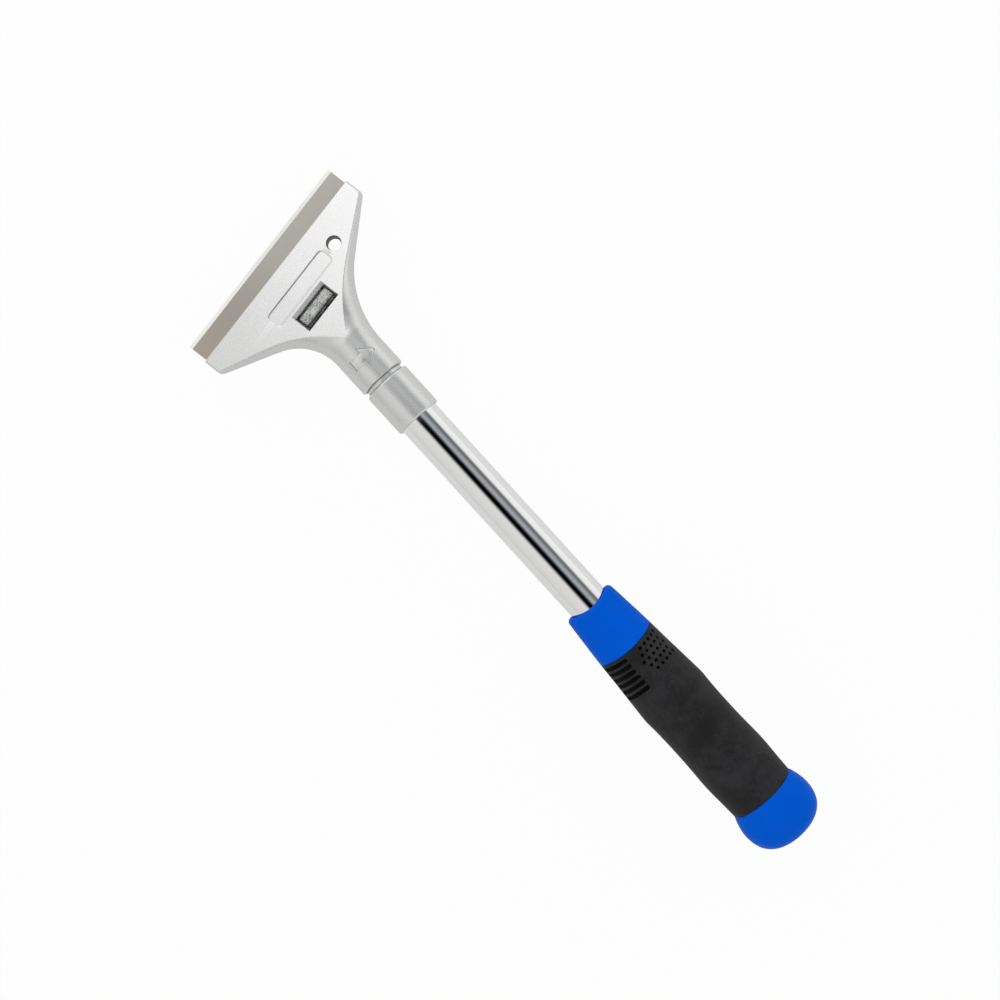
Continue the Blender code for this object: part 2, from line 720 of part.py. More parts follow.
def dimple_field(frame):
    """Staggered rows of small pits on the right of the grip, above and below, as one cutter of many cones."""
    points = []
    faces = []
    for row, count in enumerate(DIMPLE_COUNTS):
        y = DIMPLE_ROW_FIRST - row * DIMPLE_ROW_PITCH
        surface = overmould_radius(y)
        for index in range(count):
            angle = math.radians(DIMPLE_FARTHEST[row % 2] - index * DIMPLE_ANGLE_PITCH)
            for side in (1, -1):
                out = Vector((math.sin(angle), 0.0, side * math.cos(angle)))
                along = Vector((math.cos(angle), 0.0, -side * math.sin(angle)))
                mouth = out * surface + Vector((0.0, y, 0.0))
                cone_points, cone_faces = dimple_cone(mouth, out, along, len(points))
                points += cone_points
                faces += cone_faces
    return add_object("dimple_cutter", frame, points, faces)


def dimple_cone(mouth_centre, out, along, first):
    """One six-sided cone that points inwards, with its base clear of the surface."""
    corners = 6
    reach = 0.6
    base_radius = DIMPLE_RADIUS * (1 + reach / DIMPLE_DEPTH)
    points = []
    for corner in range(corners):
        turn = math.tau * corner / corners
        sideways = along * math.cos(turn) + Vector((0.0, math.sin(turn), 0.0))
        points.append(mouth_centre + out * reach + sideways * base_radius)
    points.append(mouth_centre - out * DIMPLE_DEPTH)
    faces = [(first + corner, first + (corner + 1) % corners, first + corners) for corner in range(corners)]
    faces.append(tuple(first + corner for corner in range(corners)))
    return points, faces


def grip_overmould(frame, material):
    """Black soft overmould on the core's sleeve, with finger grooves and dimples."""
    inner = CORE_RADIUS + GAP
    front = BAND_REAR - GAP
    rear = CAP_FRONT + GAP
    profile = [(front, BAND_DIAMETERS[-1][1] / 2, SEAM_SWAY)]
    for y, radius in stations_to_profile(OVERMOULD_DIAMETERS[:-1]):
        fade = max(0.0, 1 - (BAND_REAR - y) / SEAM_SWAY_FADE)
        profile.append((y, radius, SEAM_SWAY * fade))
    profile += [
        (rear, OVERMOULD_DIAMETERS[-1][1] / 2),
        (rear, inner),
        (front, inner, SEAM_SWAY),
    ]
    overmould = turned("grip_overmould", frame, profile, material, hollow=True)
    keyway_width = KEY_WIDTH + 2 * GAP
    keyway_height = KEY_HEIGHT + GAP
    keyway_front = BAND_REAR - KEY_SHORTFALL + GAP
    keyway_rear = CAP_FRONT + KEY_SHORTFALL - GAP
    for index in range(KEY_COUNT):
        name = f"keyway_{index}_cutter"
        cut(overmould, key_solid(name, frame, index, keyway_width, keyway_height, keyway_front, keyway_rear))
    for index in range(GROOVE_COUNT):
        for side in (1, -1):
            cut(overmould, finger_groove(frame, index, side))
    cut(overmould, dimple_field(frame))
    return overmould


def grip_end_cap(frame, material):
    """Blue bulb-shaped cap with a flat end and a hollow spigot that plugs the core."""
    outside = [
        (CAP_SPIGOT_FRONT, CAP_SPIGOT_RADIUS - CAP_SPIGOT_CHAMFER),
        (CAP_SPIGOT_FRONT - CAP_SPIGOT_CHAMFER, CAP_SPIGOT_RADIUS),
        (CAP_FRONT - GAP, CAP_SPIGOT_RADIUS),
        (CAP_FRONT - GAP, OVERMOULD_DIAMETERS[-1][1] / 2),
    ]
    outside += stations_to_profile(CAP_DIAMETERS)
    cap = turned("grip_end_cap", frame, outside, material)
    hollow = CAP_SPIGOT_RADIUS - CAP_SPIGOT_WALL
    floor = CAP_SPIGOT_FRONT - CAP_HOLLOW_DEPTH
    hollow_profile = [(CAP_SPIGOT_FRONT + CLEAR, hollow), (floor, hollow - CAP_HOLLOW_DRAFT)]
    room = turned("cap_hollow_cutter", frame, hollow_profile)
    cut(cap, room)
    return cap


def centre_on_bounds(frame, pieces):
    """Move the frame so that the middle of the whole object's bounding box is the origin."""
    bpy.context.view_layer.update()
    depsgraph = bpy.context.evaluated_depsgraph_get()
    corners = []
    for piece in pieces:
        shape = piece.evaluated_get(depsgraph)
        corners += [piece.matrix_world @ vertex.co for vertex in shape.data.vertices]
    middle = []
    for axis in range(3):
        values = [corner[axis] for corner in corners]
        middle.append((min(values) + max(values)) / 2)
    frame.location = -Vector(middle)
    bpy.context.view_layer.update()


def build_scraper():
    clear_scene()
    silver = make_material("cast_silver", (0.60, 0.61, 0.62), 0.38, 1.0)
    blade_steel = make_material("blade_steel", (0.46, 0.44, 0.42), 0.32, 1.0)
    dark_steel = make_material("dark_steel", (0.25, 0.25, 0.26), 0.45, 1.0)
    raw_casting = make_material("raw_casting", (0.45, 0.46, 0.45), 0.6, 1.0)
    chrome = make_material("chrome", (0.85, 0.85, 0.86), 0.05, 1.0)
    blue = make_material("blue_plastic", (0.0, 0.085, 0.64), 0.4)
    black = make_material("black_rubber", (0.027, 0.027, 0.03), 0.65)
    frame = bpy.data.objects.new("scraper_frame", None)
    bpy.context.scene.collection.objects.link(frame)
    pieces = [
        head_casting(frame, silver),
        scraper_blade(frame, blade_steel),
        clamp_block(frame, raw_casting),
        clamp_screw(frame, dark_steel),
        handle_collar(frame, silver),
        collar_pin(frame, dark_steel),
        handle_tube(frame, chrome),
        grip_core(frame, blue),
        grip_overmould(frame, black),
        grip_end_cap(frame, blue),
    ]
    centre_on_bounds(frame, pieces)
    print("frame at", [round(value * 1000, 2) for value in frame.location], "mm")


build_scraper()
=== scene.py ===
# %% [markdown]
# # A hand paint scraper
#
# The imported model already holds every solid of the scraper: the cast head, the blade, the clamp block and
# its screw, the collar and its pin, the chromed tube and the three mouldings of the grip. This lesson makes
# each of them again with finer curves, rounded edges and small relief, and gives each one a finish made of
# nodes. The solids stay where they are, and every new piece stands exactly where its solid stands.

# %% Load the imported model
import math

import bmesh
import bpy
from mathutils import Matrix, Vector, noise


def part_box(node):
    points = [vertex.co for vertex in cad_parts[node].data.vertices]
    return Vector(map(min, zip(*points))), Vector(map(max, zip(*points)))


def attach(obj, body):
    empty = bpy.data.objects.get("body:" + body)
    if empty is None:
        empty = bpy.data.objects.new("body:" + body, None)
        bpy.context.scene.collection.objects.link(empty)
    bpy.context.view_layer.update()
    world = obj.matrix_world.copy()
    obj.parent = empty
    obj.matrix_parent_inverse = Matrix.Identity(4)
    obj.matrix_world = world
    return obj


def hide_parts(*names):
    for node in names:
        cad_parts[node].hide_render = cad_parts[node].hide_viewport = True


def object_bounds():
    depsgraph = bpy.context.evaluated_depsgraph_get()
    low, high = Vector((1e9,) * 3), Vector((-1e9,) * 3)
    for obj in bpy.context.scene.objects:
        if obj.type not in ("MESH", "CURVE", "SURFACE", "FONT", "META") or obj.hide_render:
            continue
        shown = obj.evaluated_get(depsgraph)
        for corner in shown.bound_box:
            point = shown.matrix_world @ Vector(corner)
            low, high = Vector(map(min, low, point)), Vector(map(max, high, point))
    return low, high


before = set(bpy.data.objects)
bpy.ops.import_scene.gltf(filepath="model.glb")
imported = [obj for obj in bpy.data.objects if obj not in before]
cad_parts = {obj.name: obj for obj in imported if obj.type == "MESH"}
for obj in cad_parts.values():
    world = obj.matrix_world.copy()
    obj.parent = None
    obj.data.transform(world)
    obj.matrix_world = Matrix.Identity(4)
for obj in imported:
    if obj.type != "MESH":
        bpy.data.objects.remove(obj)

solid_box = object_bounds()
for thing in ("Cube", "Camera", "Light"):
    if thing in bpy.data.objects:
        bpy.data.objects.remove(bpy.data.objects[thing], do_unlink=True)

# %% [markdown]
# ## Two sets of axes
#
# Lengths are in millimetres until a mesh is made. The handle axes have +Y along the handle towards the
# blade, +Z out of the head's face and y = 0 at the neck's end. The plate axes belong to the flat part of
# the head, which is skewed on the handle: "across" runs along the blade, and "behind" is the distance
# behind the front lip. The tube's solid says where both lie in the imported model, so nothing has to be
# fitted by eye.

# %% Find the handle's axis and the end of the neck
MM = 0.001
TUBE_FRONT = -12.8
tube_low, tube_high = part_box("handle_tube")
AXIS_X = (tube_low.x + tube_high.x) / 2 / MM
NECK_END = tube_high.y / MM - TUBE_FRONT

SKEW = math.radians(9.6)
CROSSING_AHEAD_OF_NECK = 48.0
CROSSING_BEHIND_LIP = 19.5


def handle_point(x, y, z):
    """A point on the handle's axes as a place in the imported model, in metres."""
    return Vector(((x + AXIS_X) * MM, (y + NECK_END) * MM, z * MM))


def plate_to_handle(across, behind, height):
    """A point of the plate, in the handle's axes."""
    ahead = CROSSING_BEHIND_LIP - behind
    x = across * math.cos(SKEW) - ahead * math.sin(SKEW)
    y = CROSSING_AHEAD_OF_NECK + across * math.sin(SKEW) + ahead * math.cos(SKEW)
    return (x, y, height)


print(f"handle axis at x = {AXIS_X:.2f} mm, neck end at y = {NECK_END:.2f} mm")

# %% [markdown]
# ## Sums in a node tree
#
# A finish is a small tree of nodes. Writing it as Python expressions keeps it readable, so one small class
# wraps a socket and turns +, - and * into Math nodes. Every other node comes from one method, which takes
# the node's type, its settings and the values or links of its sockets.

# %% A socket that can be added and multiplied
class Wire:
    """An output socket of a finish. Sums with it add Math nodes."""

    def __init__(self, finish, socket):
        self.finish = finish
        self.socket = socket

    def __add__(self, other):
        return self.finish.maths("ADD", self, other)

    def __radd__(self, other):
        return self.finish.maths("ADD", other, self)

    def __sub__(self, other):
        return self.finish.maths("SUBTRACT", self, other)

    def __rsub__(self, other):
        return self.finish.maths("SUBTRACT", other, self)

    def __mul__(self, other):
        return self.finish.maths("MULTIPLY", self, other)

    def __rmul__(self, other):
        return self.finish.maths("MULTIPLY", other, self)


class Finish:
    """A node tree that is written as expressions."""

    def __init__(self, tree):
        self.tree = tree

    def node(self, kind, settings=None, sockets=None, output=0):
        """Any node: its type, its settings, then the values or links of its sockets."""
        made = self.tree.nodes.new(kind)
        for name, value in (settings or {}).items():
            if name == "stops":
                self.set_stops(made.color_ramp, value)
            else:
                setattr(made, name, value)
        for key, value in (sockets or {}).items():
            self.feed(made.inputs[key], value)
        return Wire(self, made.outputs[output])

    def feed(self, socket, value):
        if isinstance(value, Wire):
            self.tree.links.new(value.socket, socket)
        elif socket.type == "RGBA":
            socket.default_value = (*value, 1.0)
        else:
            socket.default_value = value

    def set_stops(self, ramp, stops):
        while len(ramp.elements) < len(stops):
            ramp.elements.new(1.0)
        for element, (position, colour) in zip(ramp.elements, stops):
            element.position = position
            element.color = (*colour, 1.0)

    def maths(self, operation, *values):
        return self.node("ShaderNodeMath", {"operation": operation}, dict(enumerate(values)))

    def noise(self, scale, detail=2.0, roughness=0.5, where=None):
        """Smooth noise from 0 to 1, with about that many lumps to the metre."""
        sockets = {"Vector": where or self.place(), "Scale": scale, "Detail": detail, "Roughness": roughness}
        return self.node("ShaderNodeTexNoise", None, sockets)

    def place(self):
        """The point on the piece, in metres, which stays with the piece as it moves."""
        return self.node("ShaderNodeTexCoord", output="Object")

    def drive(self, name, value):
        """Let a socket of the surface follow what changes over the piece."""
        self.feed(self.surface[name], value)

    def split(self, vector):
        """The three numbers of a vector, each on its own wire."""
        parts = self.node("ShaderNodeSeparateXYZ", None, {0: vector})
        return [Wire(self, socket) for socket in parts.socket.node.outputs]

    def stretched(self, factors, where=None):
        """A point with its axes scaled one by one."""
        sockets = {0: where or self.place(), 1: factors}
        return self.node("ShaderNodeVectorMath", {"operation": "MULTIPLY"}, sockets)

    def blend(self, share, first, second):
        """A colour between two. A Mix node repeats its names, so its sockets go by number."""
        return self.node("ShaderNodeMix", {"data_type": "RGBA"}, {0: share, 6: first, 7: second}, 2)

    def step(self, value, low, high):
        """0 below low and 1 above high, with a smooth rise between."""
        sockets = {"Value": value, "From Min": low, "From Max": high}
        return self.node("ShaderNodeMapRange", {"interpolation_type": "SMOOTHSTEP"}, sockets)


def new_finish(name, base, roughness, metallic=0.0, **fixed):
    """A material with a Principled shader and its average look, which nodes then vary."""
    material = bpy.data.materials.new(name)
    material.use_nodes = True
    finish = Finish(material.node_tree)
    finish.material = material
    finish.surface = material.node_tree.nodes["Principled BSDF"].inputs
    for socket, value in {"Base_Color": base, "Roughness": roughness, "Metallic": metallic, **fixed}.items():
        finish.drive(socket.replace("_", " "), value)
    return finish


def bump(finish, height, depth_mm, strength=1.0):
    """Send a height from 0 to 1 to the shader's normal."""
    sockets = {"Strength": strength, "Distance": depth_mm * MM, "Height": height}
    finish.drive("Normal", finish.node("ShaderNodeBump", None, sockets))


# %% [markdown]
# ## Silver paint on a die casting
#
# The head and the collar are die castings, blasted and sprayed with silver paint. From near, the paint is a
# crowd of tiny flakes, some bright and some dull, over a slightly pebbled skin. Fine noise drives the
# colour, the roughness and a very shallow bump, so the grain is there in the highlights as well as in the
# colour.

# %% Make the silver paint
def silver_paint():
    finish = new_finish("silver_paint", (0.75, 0.75, 0.74), 0.36, 0.78)
    dull, bright = (0.715, 0.715, 0.71), (0.805, 0.805, 0.795)
    flakes = finish.noise(2600.0, 1.0, 0.6)
    pebbles = finish.noise(900.0, 3.0, 0.6)
    clouds = finish.noise(60.0, 2.0)
    share = finish.step(0.75 * flakes + 0.25 * clouds, 0.3, 0.7)
    finish.drive("Base Color", finish.blend(share, dull, bright))
    finish.drive("Roughness", 0.23 + 0.1 * flakes)
    bump(finish, 0.6 * pebbles + 0.4 * flakes, 0.016, 0.45)
    return finish.material


SILVER = silver_paint()
print("made", SILVER.name)

# %% [markdown]
# ## Steel, chrome and the raw block
#
# The blade is rolled steel with faint lines along its length and a thin brownish film of oil; its two honed
# strips are ground bright, with a painted highlight that makes them near white towards the left end. The
# clamp block is left as it was cast, grey and rough. The tube is chrome plated, so it is almost a mirror,
# with the faintest waviness from polishing.

# %% Make the metals
BLADE_MIDDLE = 0.0265


def on_blade(finish):
    """The point on the piece, turned so that its first axis runs along the blade's edge."""
    sockets = {"Vector": finish.place(), "Angle": -SKEW}
    return finish.node("ShaderNodeVectorRotate", {"rotation_type": "Z_AXIS"}, sockets)


def along_the_edge(finish):
    """How far along the blade a point lies, in metres, from -0.05 at the left end to 0.05 at the right."""
    return finish.split(on_blade(finish))[0] - BLADE_MIDDLE


def rolled_steel():
    finish = new_finish("rolled_steel", (0.6, 0.57, 0.52), 0.3, 1.0)
    brown, oily, clean = (0.565, 0.485, 0.415), (0.505, 0.48, 0.42), (0.585, 0.56, 0.51)
    rolling = finish.noise(5200.0, 2.0, 0.7, finish.stretched((0.02, 1.0, 1.0), on_blade(finish)))
    place = along_the_edge(finish) + 0.008 * finish.noise(60.0, 2.0)
    stained = finish.blend(finish.step(place, -0.046, -0.022), brown, oily)
    finish.drive("Base Color", finish.blend(finish.step(place, -0.022, 0.012), stained, clean))
    finish.drive("Roughness", 0.24 + 0.16 * rolling)
    bump(finish, rolling, 0.004, 0.4)
    return finish.material


def honed_steel():
    finish = new_finish("honed_steel", (0.7, 0.7, 0.66), 0.22, 1.0)
    # Near white towards the left end and dull steel to the right: a painted highlight along the bevel
    bright, dull = (0.97, 0.965, 0.925), (0.60, 0.60, 0.565)
    grinding = finish.noise(3500.0, 2.0, 0.6)
    finish.drive("Base Color", finish.blend(finish.step(along_the_edge(finish), -0.045, 0.03), bright, dull))
    finish.drive("Roughness", 0.18 + 0.12 * grinding)
    bump(finish, grinding, 0.004, 0.3)
    return finish.material


def raw_casting():
    finish = new_finish("raw_casting", (0.45, 0.46, 0.45), 0.55, 0.85)
    dark, pale = (0.25, 0.26, 0.26), (0.74, 0.75, 0.73)
    grains = finish.noise(1700.0, 3.0, 0.65)
    stains = finish.noise(260.0, 2.0)
    share = finish.step(0.8 * grains + 0.2 * stains, 0.4, 0.6)
    finish.drive("Base Color", finish.blend(share, dark, pale))
    finish.drive("Roughness", 0.42 + 0.3 * grains)
    bump(finish, grains, 0.12, 0.7)
    return finish.material


def chrome_plate():
    finish = new_finish("chrome_plate", (0.93, 0.93, 0.93), 0.02, 1.0)
    waves = finish.noise(120.0, 2.0, 0.5, finish.stretched((1.0, 0.15, 1.0)))
    finish.drive("Roughness", 0.01 + 0.03 * waves)
    bump(finish, waves, 0.01, 0.25)
    return finish.material


def plain_metal(name, dark, pale, grain, roughness, rise, metallic):
    """A metal with no relief of its own, whose colour and roughness follow one grain."""
    finish = new_finish(name, tuple((low + high) / 2 for low, high in zip(dark, pale)), roughness, metallic)
    grains = finish.noise(grain, 3.0, 0.6)
    finish.drive("Base Color", finish.blend(grains, dark, pale))
    finish.drive("Roughness", roughness + rise * grains)
    return finish.material


ROLLED = rolled_steel()
HONED = honed_steel()
RAW = raw_casting()
CHROME = chrome_plate()
# The walls of the hanging hole, in a dark grey that paints the shade inside the hole
PAINTED_HOLE_SHADE = plain_metal("bare_casting", (0.13, 0.13, 0.135), (0.25, 0.25, 0.25), 1500.0, 0.4, 0.25, 0.9)
# The screw and the pin
DARK = plain_metal("dark_steel", (0.15, 0.15, 0.155), (0.28, 0.28, 0.285), 900.0, 0.3, 0.25, 1.0)
print("made", ", ".join(material.name for material in (ROLLED, HONED, RAW, CHROME, PAINTED_HOLE_SHADE, DARK)))

# %% [markdown]
# ## The two grip plastics
#
# The blue mouldings are satin: a saturated colour under a weak, wide highlight, with the fine spark-eroded
# grain of the mould. The black overmould is a soft rubber that hardly shines, a little mottled, and greyer
# where it turns away from the eye, which its roughness does by itself.

# %% Make the plastics
def blue_plastic():
    finish = new_finish("blue_plastic", (0.0, 0.09, 0.7), 0.42, Specular_IOR_Level=0.025)
    deep, light = (0.0, 0.112, 0.76), (0.0, 0.142, 0.88)
    grain = finish.noise(2200.0, 2.0, 0.5)
    finish.drive("Base Color", finish.blend(finish.noise(45.0, 2.0), deep, light))
    finish.drive("Roughness", 0.36 + 0.12 * grain)
    bump(finish, grain, 0.015, 0.35)
    return finish.material


def black_rubber():
    finish = new_finish("black_rubber", (0.016, 0.015, 0.017), 0.62, Specular_IOR_Level=0.3)
    black, greyed = (0.006, 0.0055, 0.0065), (0.027, 0.025, 0.028)
    grain = finish.noise(1500.0, 3.0, 0.6)
    bloom = finish.noise(75.0, 4.0, 0.62)
    share = finish.step(0.3 * grain + 0.7 * bloom, 0.38, 0.64)
    finish.drive("Base Color", finish.blend(share, black, greyed))
    finish.drive("Roughness", 0.52 + 0.2 * bloom)
    bump(finish, 0.6 * grain + 0.4 * bloom, 0.05, 0.5)
    return finish.material


def hollow_rubber():
    """The same rubber near black deep in a groove or a pit: painted shade where little light lies."""
    finish = new_finish("hollow_rubber", (0.003, 0.003, 0.0035), 0.8, Specular_IOR_Level=0.1)
    finish.drive("Roughness", 0.7 + 0.2 * finish.noise(1500.0, 3.0, 0.6))
    return finish.material


BLUE = blue_plastic()
BLACK = black_rubber()
PAINTED_GROOVE_SHADE = hollow_rubber()
print("made", ", ".join(material.name for material in (BLUE, BLACK, PAINTED_GROOVE_SHADE)))

# %% [markdown]
# ## From rings of points to a piece
#
# Nearly everything on this tool is a skin stretched over rings of points: the head over slices of a
# changing outline, and the collar, the tube and the grip over circles. A few helpers are enough for all of
# it. Holes are cut with Boolean modifiers that are settled at once, so that the meshes left at the end are
# plain ones.

# %% Skins, meshes and cuts
ROUND = 128
SHARP = 35.0
MERGE = 1e-6


def skin(rings, closed=False):
    """Faces between rings of equal length: a capped skin, or a closed loop of rings."""
    count = len(rings[0])
    points = [point for ring in rings for point in ring]
    faces = []
    for span in range(len(rings) if closed else len(rings) - 1):
        here = span * count
        there = ((span + 1) % len(rings)) * count
        for index in range(count):
            following = (index + 1) % count
            faces.append((here + index, here + following, there + following, there + index))
    if not closed:
        faces.append(tuple(range(count)))
        faces.append(tuple(range(len(points) - count, len(points))))
    return points, faces


def new_mesh(name, points, faces, material=None, sharp=SHARP):
    """A mesh from points in millimetres on the handle's axes, with its faces turned outwards."""
    mesh = bpy.data.meshes.new(name)
    shape = bmesh.new()
    corners = [shape.verts.new(handle_point(*point)) for point in points]
    for face in faces:
        shape.faces.new([corners[index] for index in face])
    bmesh.ops.remove_doubles(shape, verts=shape.verts, dist=MERGE)
    bmesh.ops.dissolve_degenerate(shape, edges=shape.edges, dist=MERGE)
    bmesh.ops.recalc_face_normals(shape, faces=shape.faces)
    shape.to_mesh(mesh)
    shape.free()
    mesh.shade_smooth()
    mesh.set_sharp_from_angle(angle=math.radians(sharp))
    if material:
        mesh.materials.append(material)
    piece = bpy.data.objects.new(name, mesh)
    bpy.context.scene.collection.objects.link(piece)
    return piece


def combine(piece, tools, operation="DIFFERENCE", sharp=SHARP):
    """Cut the tools out of the piece, or join them to it, and settle the result into its mesh."""
    for tool in tools:
        boolean = piece.modifiers.new(tool.name, "BOOLEAN")
        boolean.operation = operation
        boolean.object = tool
        if tool.data.materials:
            boolean.material_mode = "TRANSFER"
    bpy.context.view_layer.update()
    shaped = piece.evaluated_get(bpy.context.evaluated_depsgraph_get())
    mesh = bpy.data.meshes.new_from_object(shaped)
    piece.modifiers.clear()
    piece.data = mesh
    mesh.shade_smooth()
    mesh.set_sharp_from_angle(angle=math.radians(sharp))
    for tool in tools:
        bpy.data.objects.remove(tool, do_unlink=True)


print("pieces are shaded smooth up to", SHARP, "degrees")


# %% Dress a piece
def dress(piece, body, node):
    """Even out the shading, then hang the piece on its body in place of its solid."""
    even = piece.modifiers.new("even_shading", "WEIGHTED_NORMAL")
    even.keep_sharp = True
    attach(piece, body)
    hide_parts(node)
    print(piece.name, "rides on", body, "with", len(piece.data.polygons), "faces")


# %% Rings, turned solids and smooth runs
def circle(y, radius, sway=0.0, segments=ROUND):
    """A ring round the handle's axis. Sway pulls it back above and below the axis."""
    ring = []
    for index in range(segments):
        angle = math.tau * index / segments
        up = math.cos(angle)
        ring.append((radius * math.sin(angle), y - sway * up * up, radius * up))
    return ring


def turned(name, profile, material=None, hollow=False, segments=ROUND):
    """Turn a profile of (y, radius) or (y, radius, sway) round the handle's axis."""
    rings = [circle(*row, segments=segments) for row in profile]
    return new_mesh(name, *skin(rings, closed=hollow), material)


def upright(name, centre, levels, material=None, segments=48):
    """A round solid standing on end, from rows of (radius, height) round a point of the handle's axes."""
    rings = []
    for radius, height in levels:
        ring = []
        for index in range(segments):
            angle = math.tau * index / segments
            ring.append(centre + Vector((radius * math.cos(angle), radius * math.sin(angle), height)))
        rings.append(ring)
    return new_mesh(name, *skin(rings), material)


def arc(centre_y, centre_radius, size, start, end, steps=8):
    """Points (y, radius) on an arc of a turned profile, with angles in degrees from +Y."""
    row = []
    for step in range(steps + 1):
        angle = math.radians(start + (end - start) * step / steps)
        row.append((centre_y + size * math.cos(angle), centre_radius + size * math.sin(angle)))
    return row


def curve_value(before, start, end, after, t):
    """One number on a curve from start to end that leaves each station in the direction of its neighbours."""
    slope = end - before
    bend = 2 * before - 5 * start + 4 * end - after
    twist = 3 * start - before - 3 * end + after
    return 0.5 * (2 * start + slope * t + bend * t * t + twist * t ** 3)


def smooth_run(stations, steps):
    """A smooth curve through rows of numbers."""
    rows = [stations[0], *stations, stations[-1]]
    run = []
    for four in zip(rows, rows[1:], rows[2:], rows[3:]):
        for step in range(steps):
            run.append(tuple(curve_value(*numbers, step / steps) for numbers in zip(*four)))
    run.append(tuple(stations[-1]))
    return run


print("rings have", ROUND, "points")

# %% [markdown]
# ## The head's two outlines
#
# Seen from above, the head has two outlines on each side. The wide one is the casting's silhouette: a short
# straight end, a slanting side and a long fillet into the neck. The narrow one is the edge of the flat
# face, which bends inwards earlier and closes to a point on top of the neck. Both are corner points joined
# by arcs.

# %% Draw the outlines
PLATE_HALF_WIDTH = 51.15
FACE_HALF_WIDTH = 50.5
LIP_HALF_HEIGHT = 2.2
FACE_SLOPE = math.radians(11.5)
END_WALL_LENGTH = 9.2
FACE_END_LENGTH = 8.0
SIDE_ANGLE = math.radians(30.5)
FACE_SIDE_ANGLE = math.radians(27.6)
CORNER_RADIUS = 3.0
FACE_CORNER_RADIUS = 0.8
SIDE_FILLET = {1: 45.5, -1: 23.5}
FACE_BEND_BEHIND_LIP = {1: 28.5, -1: 25.5}
FACE_BEND_RADIUS = {1: 95.0, -1: 59.0}
APEX_BEHIND_LIP = 44.3
NECK_RADIUS = 11.2
AHEAD_OF_LIP = -1.0
PAST_NECK = 80.0


def face_height(behind):
    """Height of the head's flat face above the middle plane."""
    return LIP_HALF_HEIGHT + behind * math.tan(FACE_SLOPE)


def axis_across(behind):
    """Where the section's centre lies: the plate's centreline, then the handle's axis."""
    return -max(behind - CROSSING_BEHIND_LIP, 0.0) * math.tan(SKEW)


def rounded_path(corners, radii, steps=24):
    """A polyline whose inner corners are replaced by arcs."""
    path = [Vector(corners[0])]
    for before, corner, after, radius in zip(corners, corners[1:], corners[2:], radii):
        corner = Vector(corner)
        back = (Vector(before) - corner).normalized()
        on = (Vector(after) - corner).normalized()
        half_angle = back.angle(on) / 2
        centre = corner + (back + on).normalized() * radius / math.sin(half_angle)
        start = corner + back * radius / math.tan(half_angle)
        end = corner + on * radius / math.tan(half_angle)
        turn = (start - centre).angle_signed(end - centre)
        for step in range(steps + 1):
            path.append(centre + Matrix.Rotation(-turn * step / steps, 2) @ (start - centre))
    path.append(Vector(corners[-1]))
    return path


def across_at(path, behind):
    """Where a path that runs backwards crosses a given distance behind the lip."""
    for first, second in zip(path, path[1:]):
        if first.y <= behind <= second.y and second.y > first.y:
            share = (behind - first.y) / (second.y - first.y)
            return first.x + share * (second.x - first.x)
    return path[-1].x


def outer_path(side):
    """The casting's silhouette on one side: end wall, slanting side, fillet and neck."""
    run = 1 / math.tan(SIDE_ANGLE)
    lean = side * math.tan(SKEW)
    neck = NECK_RADIUS / math.cos(SKEW)
    meeting = PLATE_HALF_WIDTH + END_WALL_LENGTH * run - neck - CROSSING_BEHIND_LIP * lean
    meeting = meeting / (run - lean)
    corners = [
        (side * PLATE_HALF_WIDTH, AHEAD_OF_LIP),
        (side * PLATE_HALF_WIDTH, END_WALL_LENGTH),
        (side * (PLATE_HALF_WIDTH - (meeting - END_WALL_LENGTH) * run), meeting),
        (side * neck + axis_across(PAST_NECK), PAST_NECK),
    ]
    return rounded_path(corners, (CORNER_RADIUS, SIDE_FILLET[side]))


def face_path(side):
    """Edge of the flat face on one side, from the lip to the point where the face runs out."""
    run = 1 / math.tan(FACE_SIDE_ANGLE)
    bend = FACE_BEND_BEHIND_LIP[side]
    corners = [
        (side * FACE_HALF_WIDTH, AHEAD_OF_LIP),
        (side * FACE_HALF_WIDTH, FACE_END_LENGTH),
        (side * (FACE_HALF_WIDTH - (bend - FACE_END_LENGTH) * run), bend),
        (axis_across(APEX_BEHIND_LIP), APEX_BEHIND_LIP),
    ]
    return rounded_path(corners, (FACE_CORNER_RADIUS, FACE_BEND_RADIUS[side]))


OUTER = {side: outer_path(side) for side in (1, -1)}
FACE = {side: face_path(side) for side in (1, -1)}
print("outlines have", len(OUTER[1]), "and", len(FACE[1]), "points a side")

# %% [markdown]
# ## The head's body
#
# Slices parallel to the blade carry the skin. Each side of a slice is part of an ellipse, cut off where the
# flat faces start, and the edge between flat and ellipse is eased by a small curve, because a casting has
# no knife edges. The lip in front is rounded in the same way, by shrinking the first few slices along a
# quarter circle.

# %% Skin the head
EDGE_EASE = 0.45
LIP_ROUND = 0.5
NECK_END_ROUND = 0.8
SIDE_STEPS = 28
EDGE_STEPS = 4
LIP_STEPS = 5

# Runs of slices: where they start behind the lip, their spacing and their number
SLICE_RUNS = ((LIP_ROUND, 0.9, 7), (6.2, 0.3, 20), (12.2, 1.0, 32), (APEX_BEHIND_LIP, 1.0, 10))


def slice_side(half_width, face_half_width, height):
    """One side of a slice, from the upper face edge round to the lower one."""
    top = math.acos(min(face_half_width / half_width, 1.0))
    rise = height / math.sin(top)
    slope = math.hypot(half_width * math.sin(top), rise * math.cos(top))
    start = top - EDGE_EASE / slope
    corner = Vector((face_half_width, height))
    inner = Vector((face_half_width - min(EDGE_EASE, face_half_width / 2), height))
    outer = Vector((half_width * math.cos(start), rise * math.sin(start)))
    upper = []
    for step in range(EDGE_STEPS):
        t = step / EDGE_STEPS
        upper.append(inner * (1 - t) ** 2 + corner * 2 * t * (1 - t) + outer * t * t)
    side = []
    for step in range(SIDE_STEPS + 1):
        angle = start * (1 - 2 * step / SIDE_STEPS)
        side.append(Vector((half_width * math.cos(angle), rise * math.sin(angle))))
    lower = [Vector((point.x, -point.y)) for point in reversed(upper)]
    return upper + side + lower


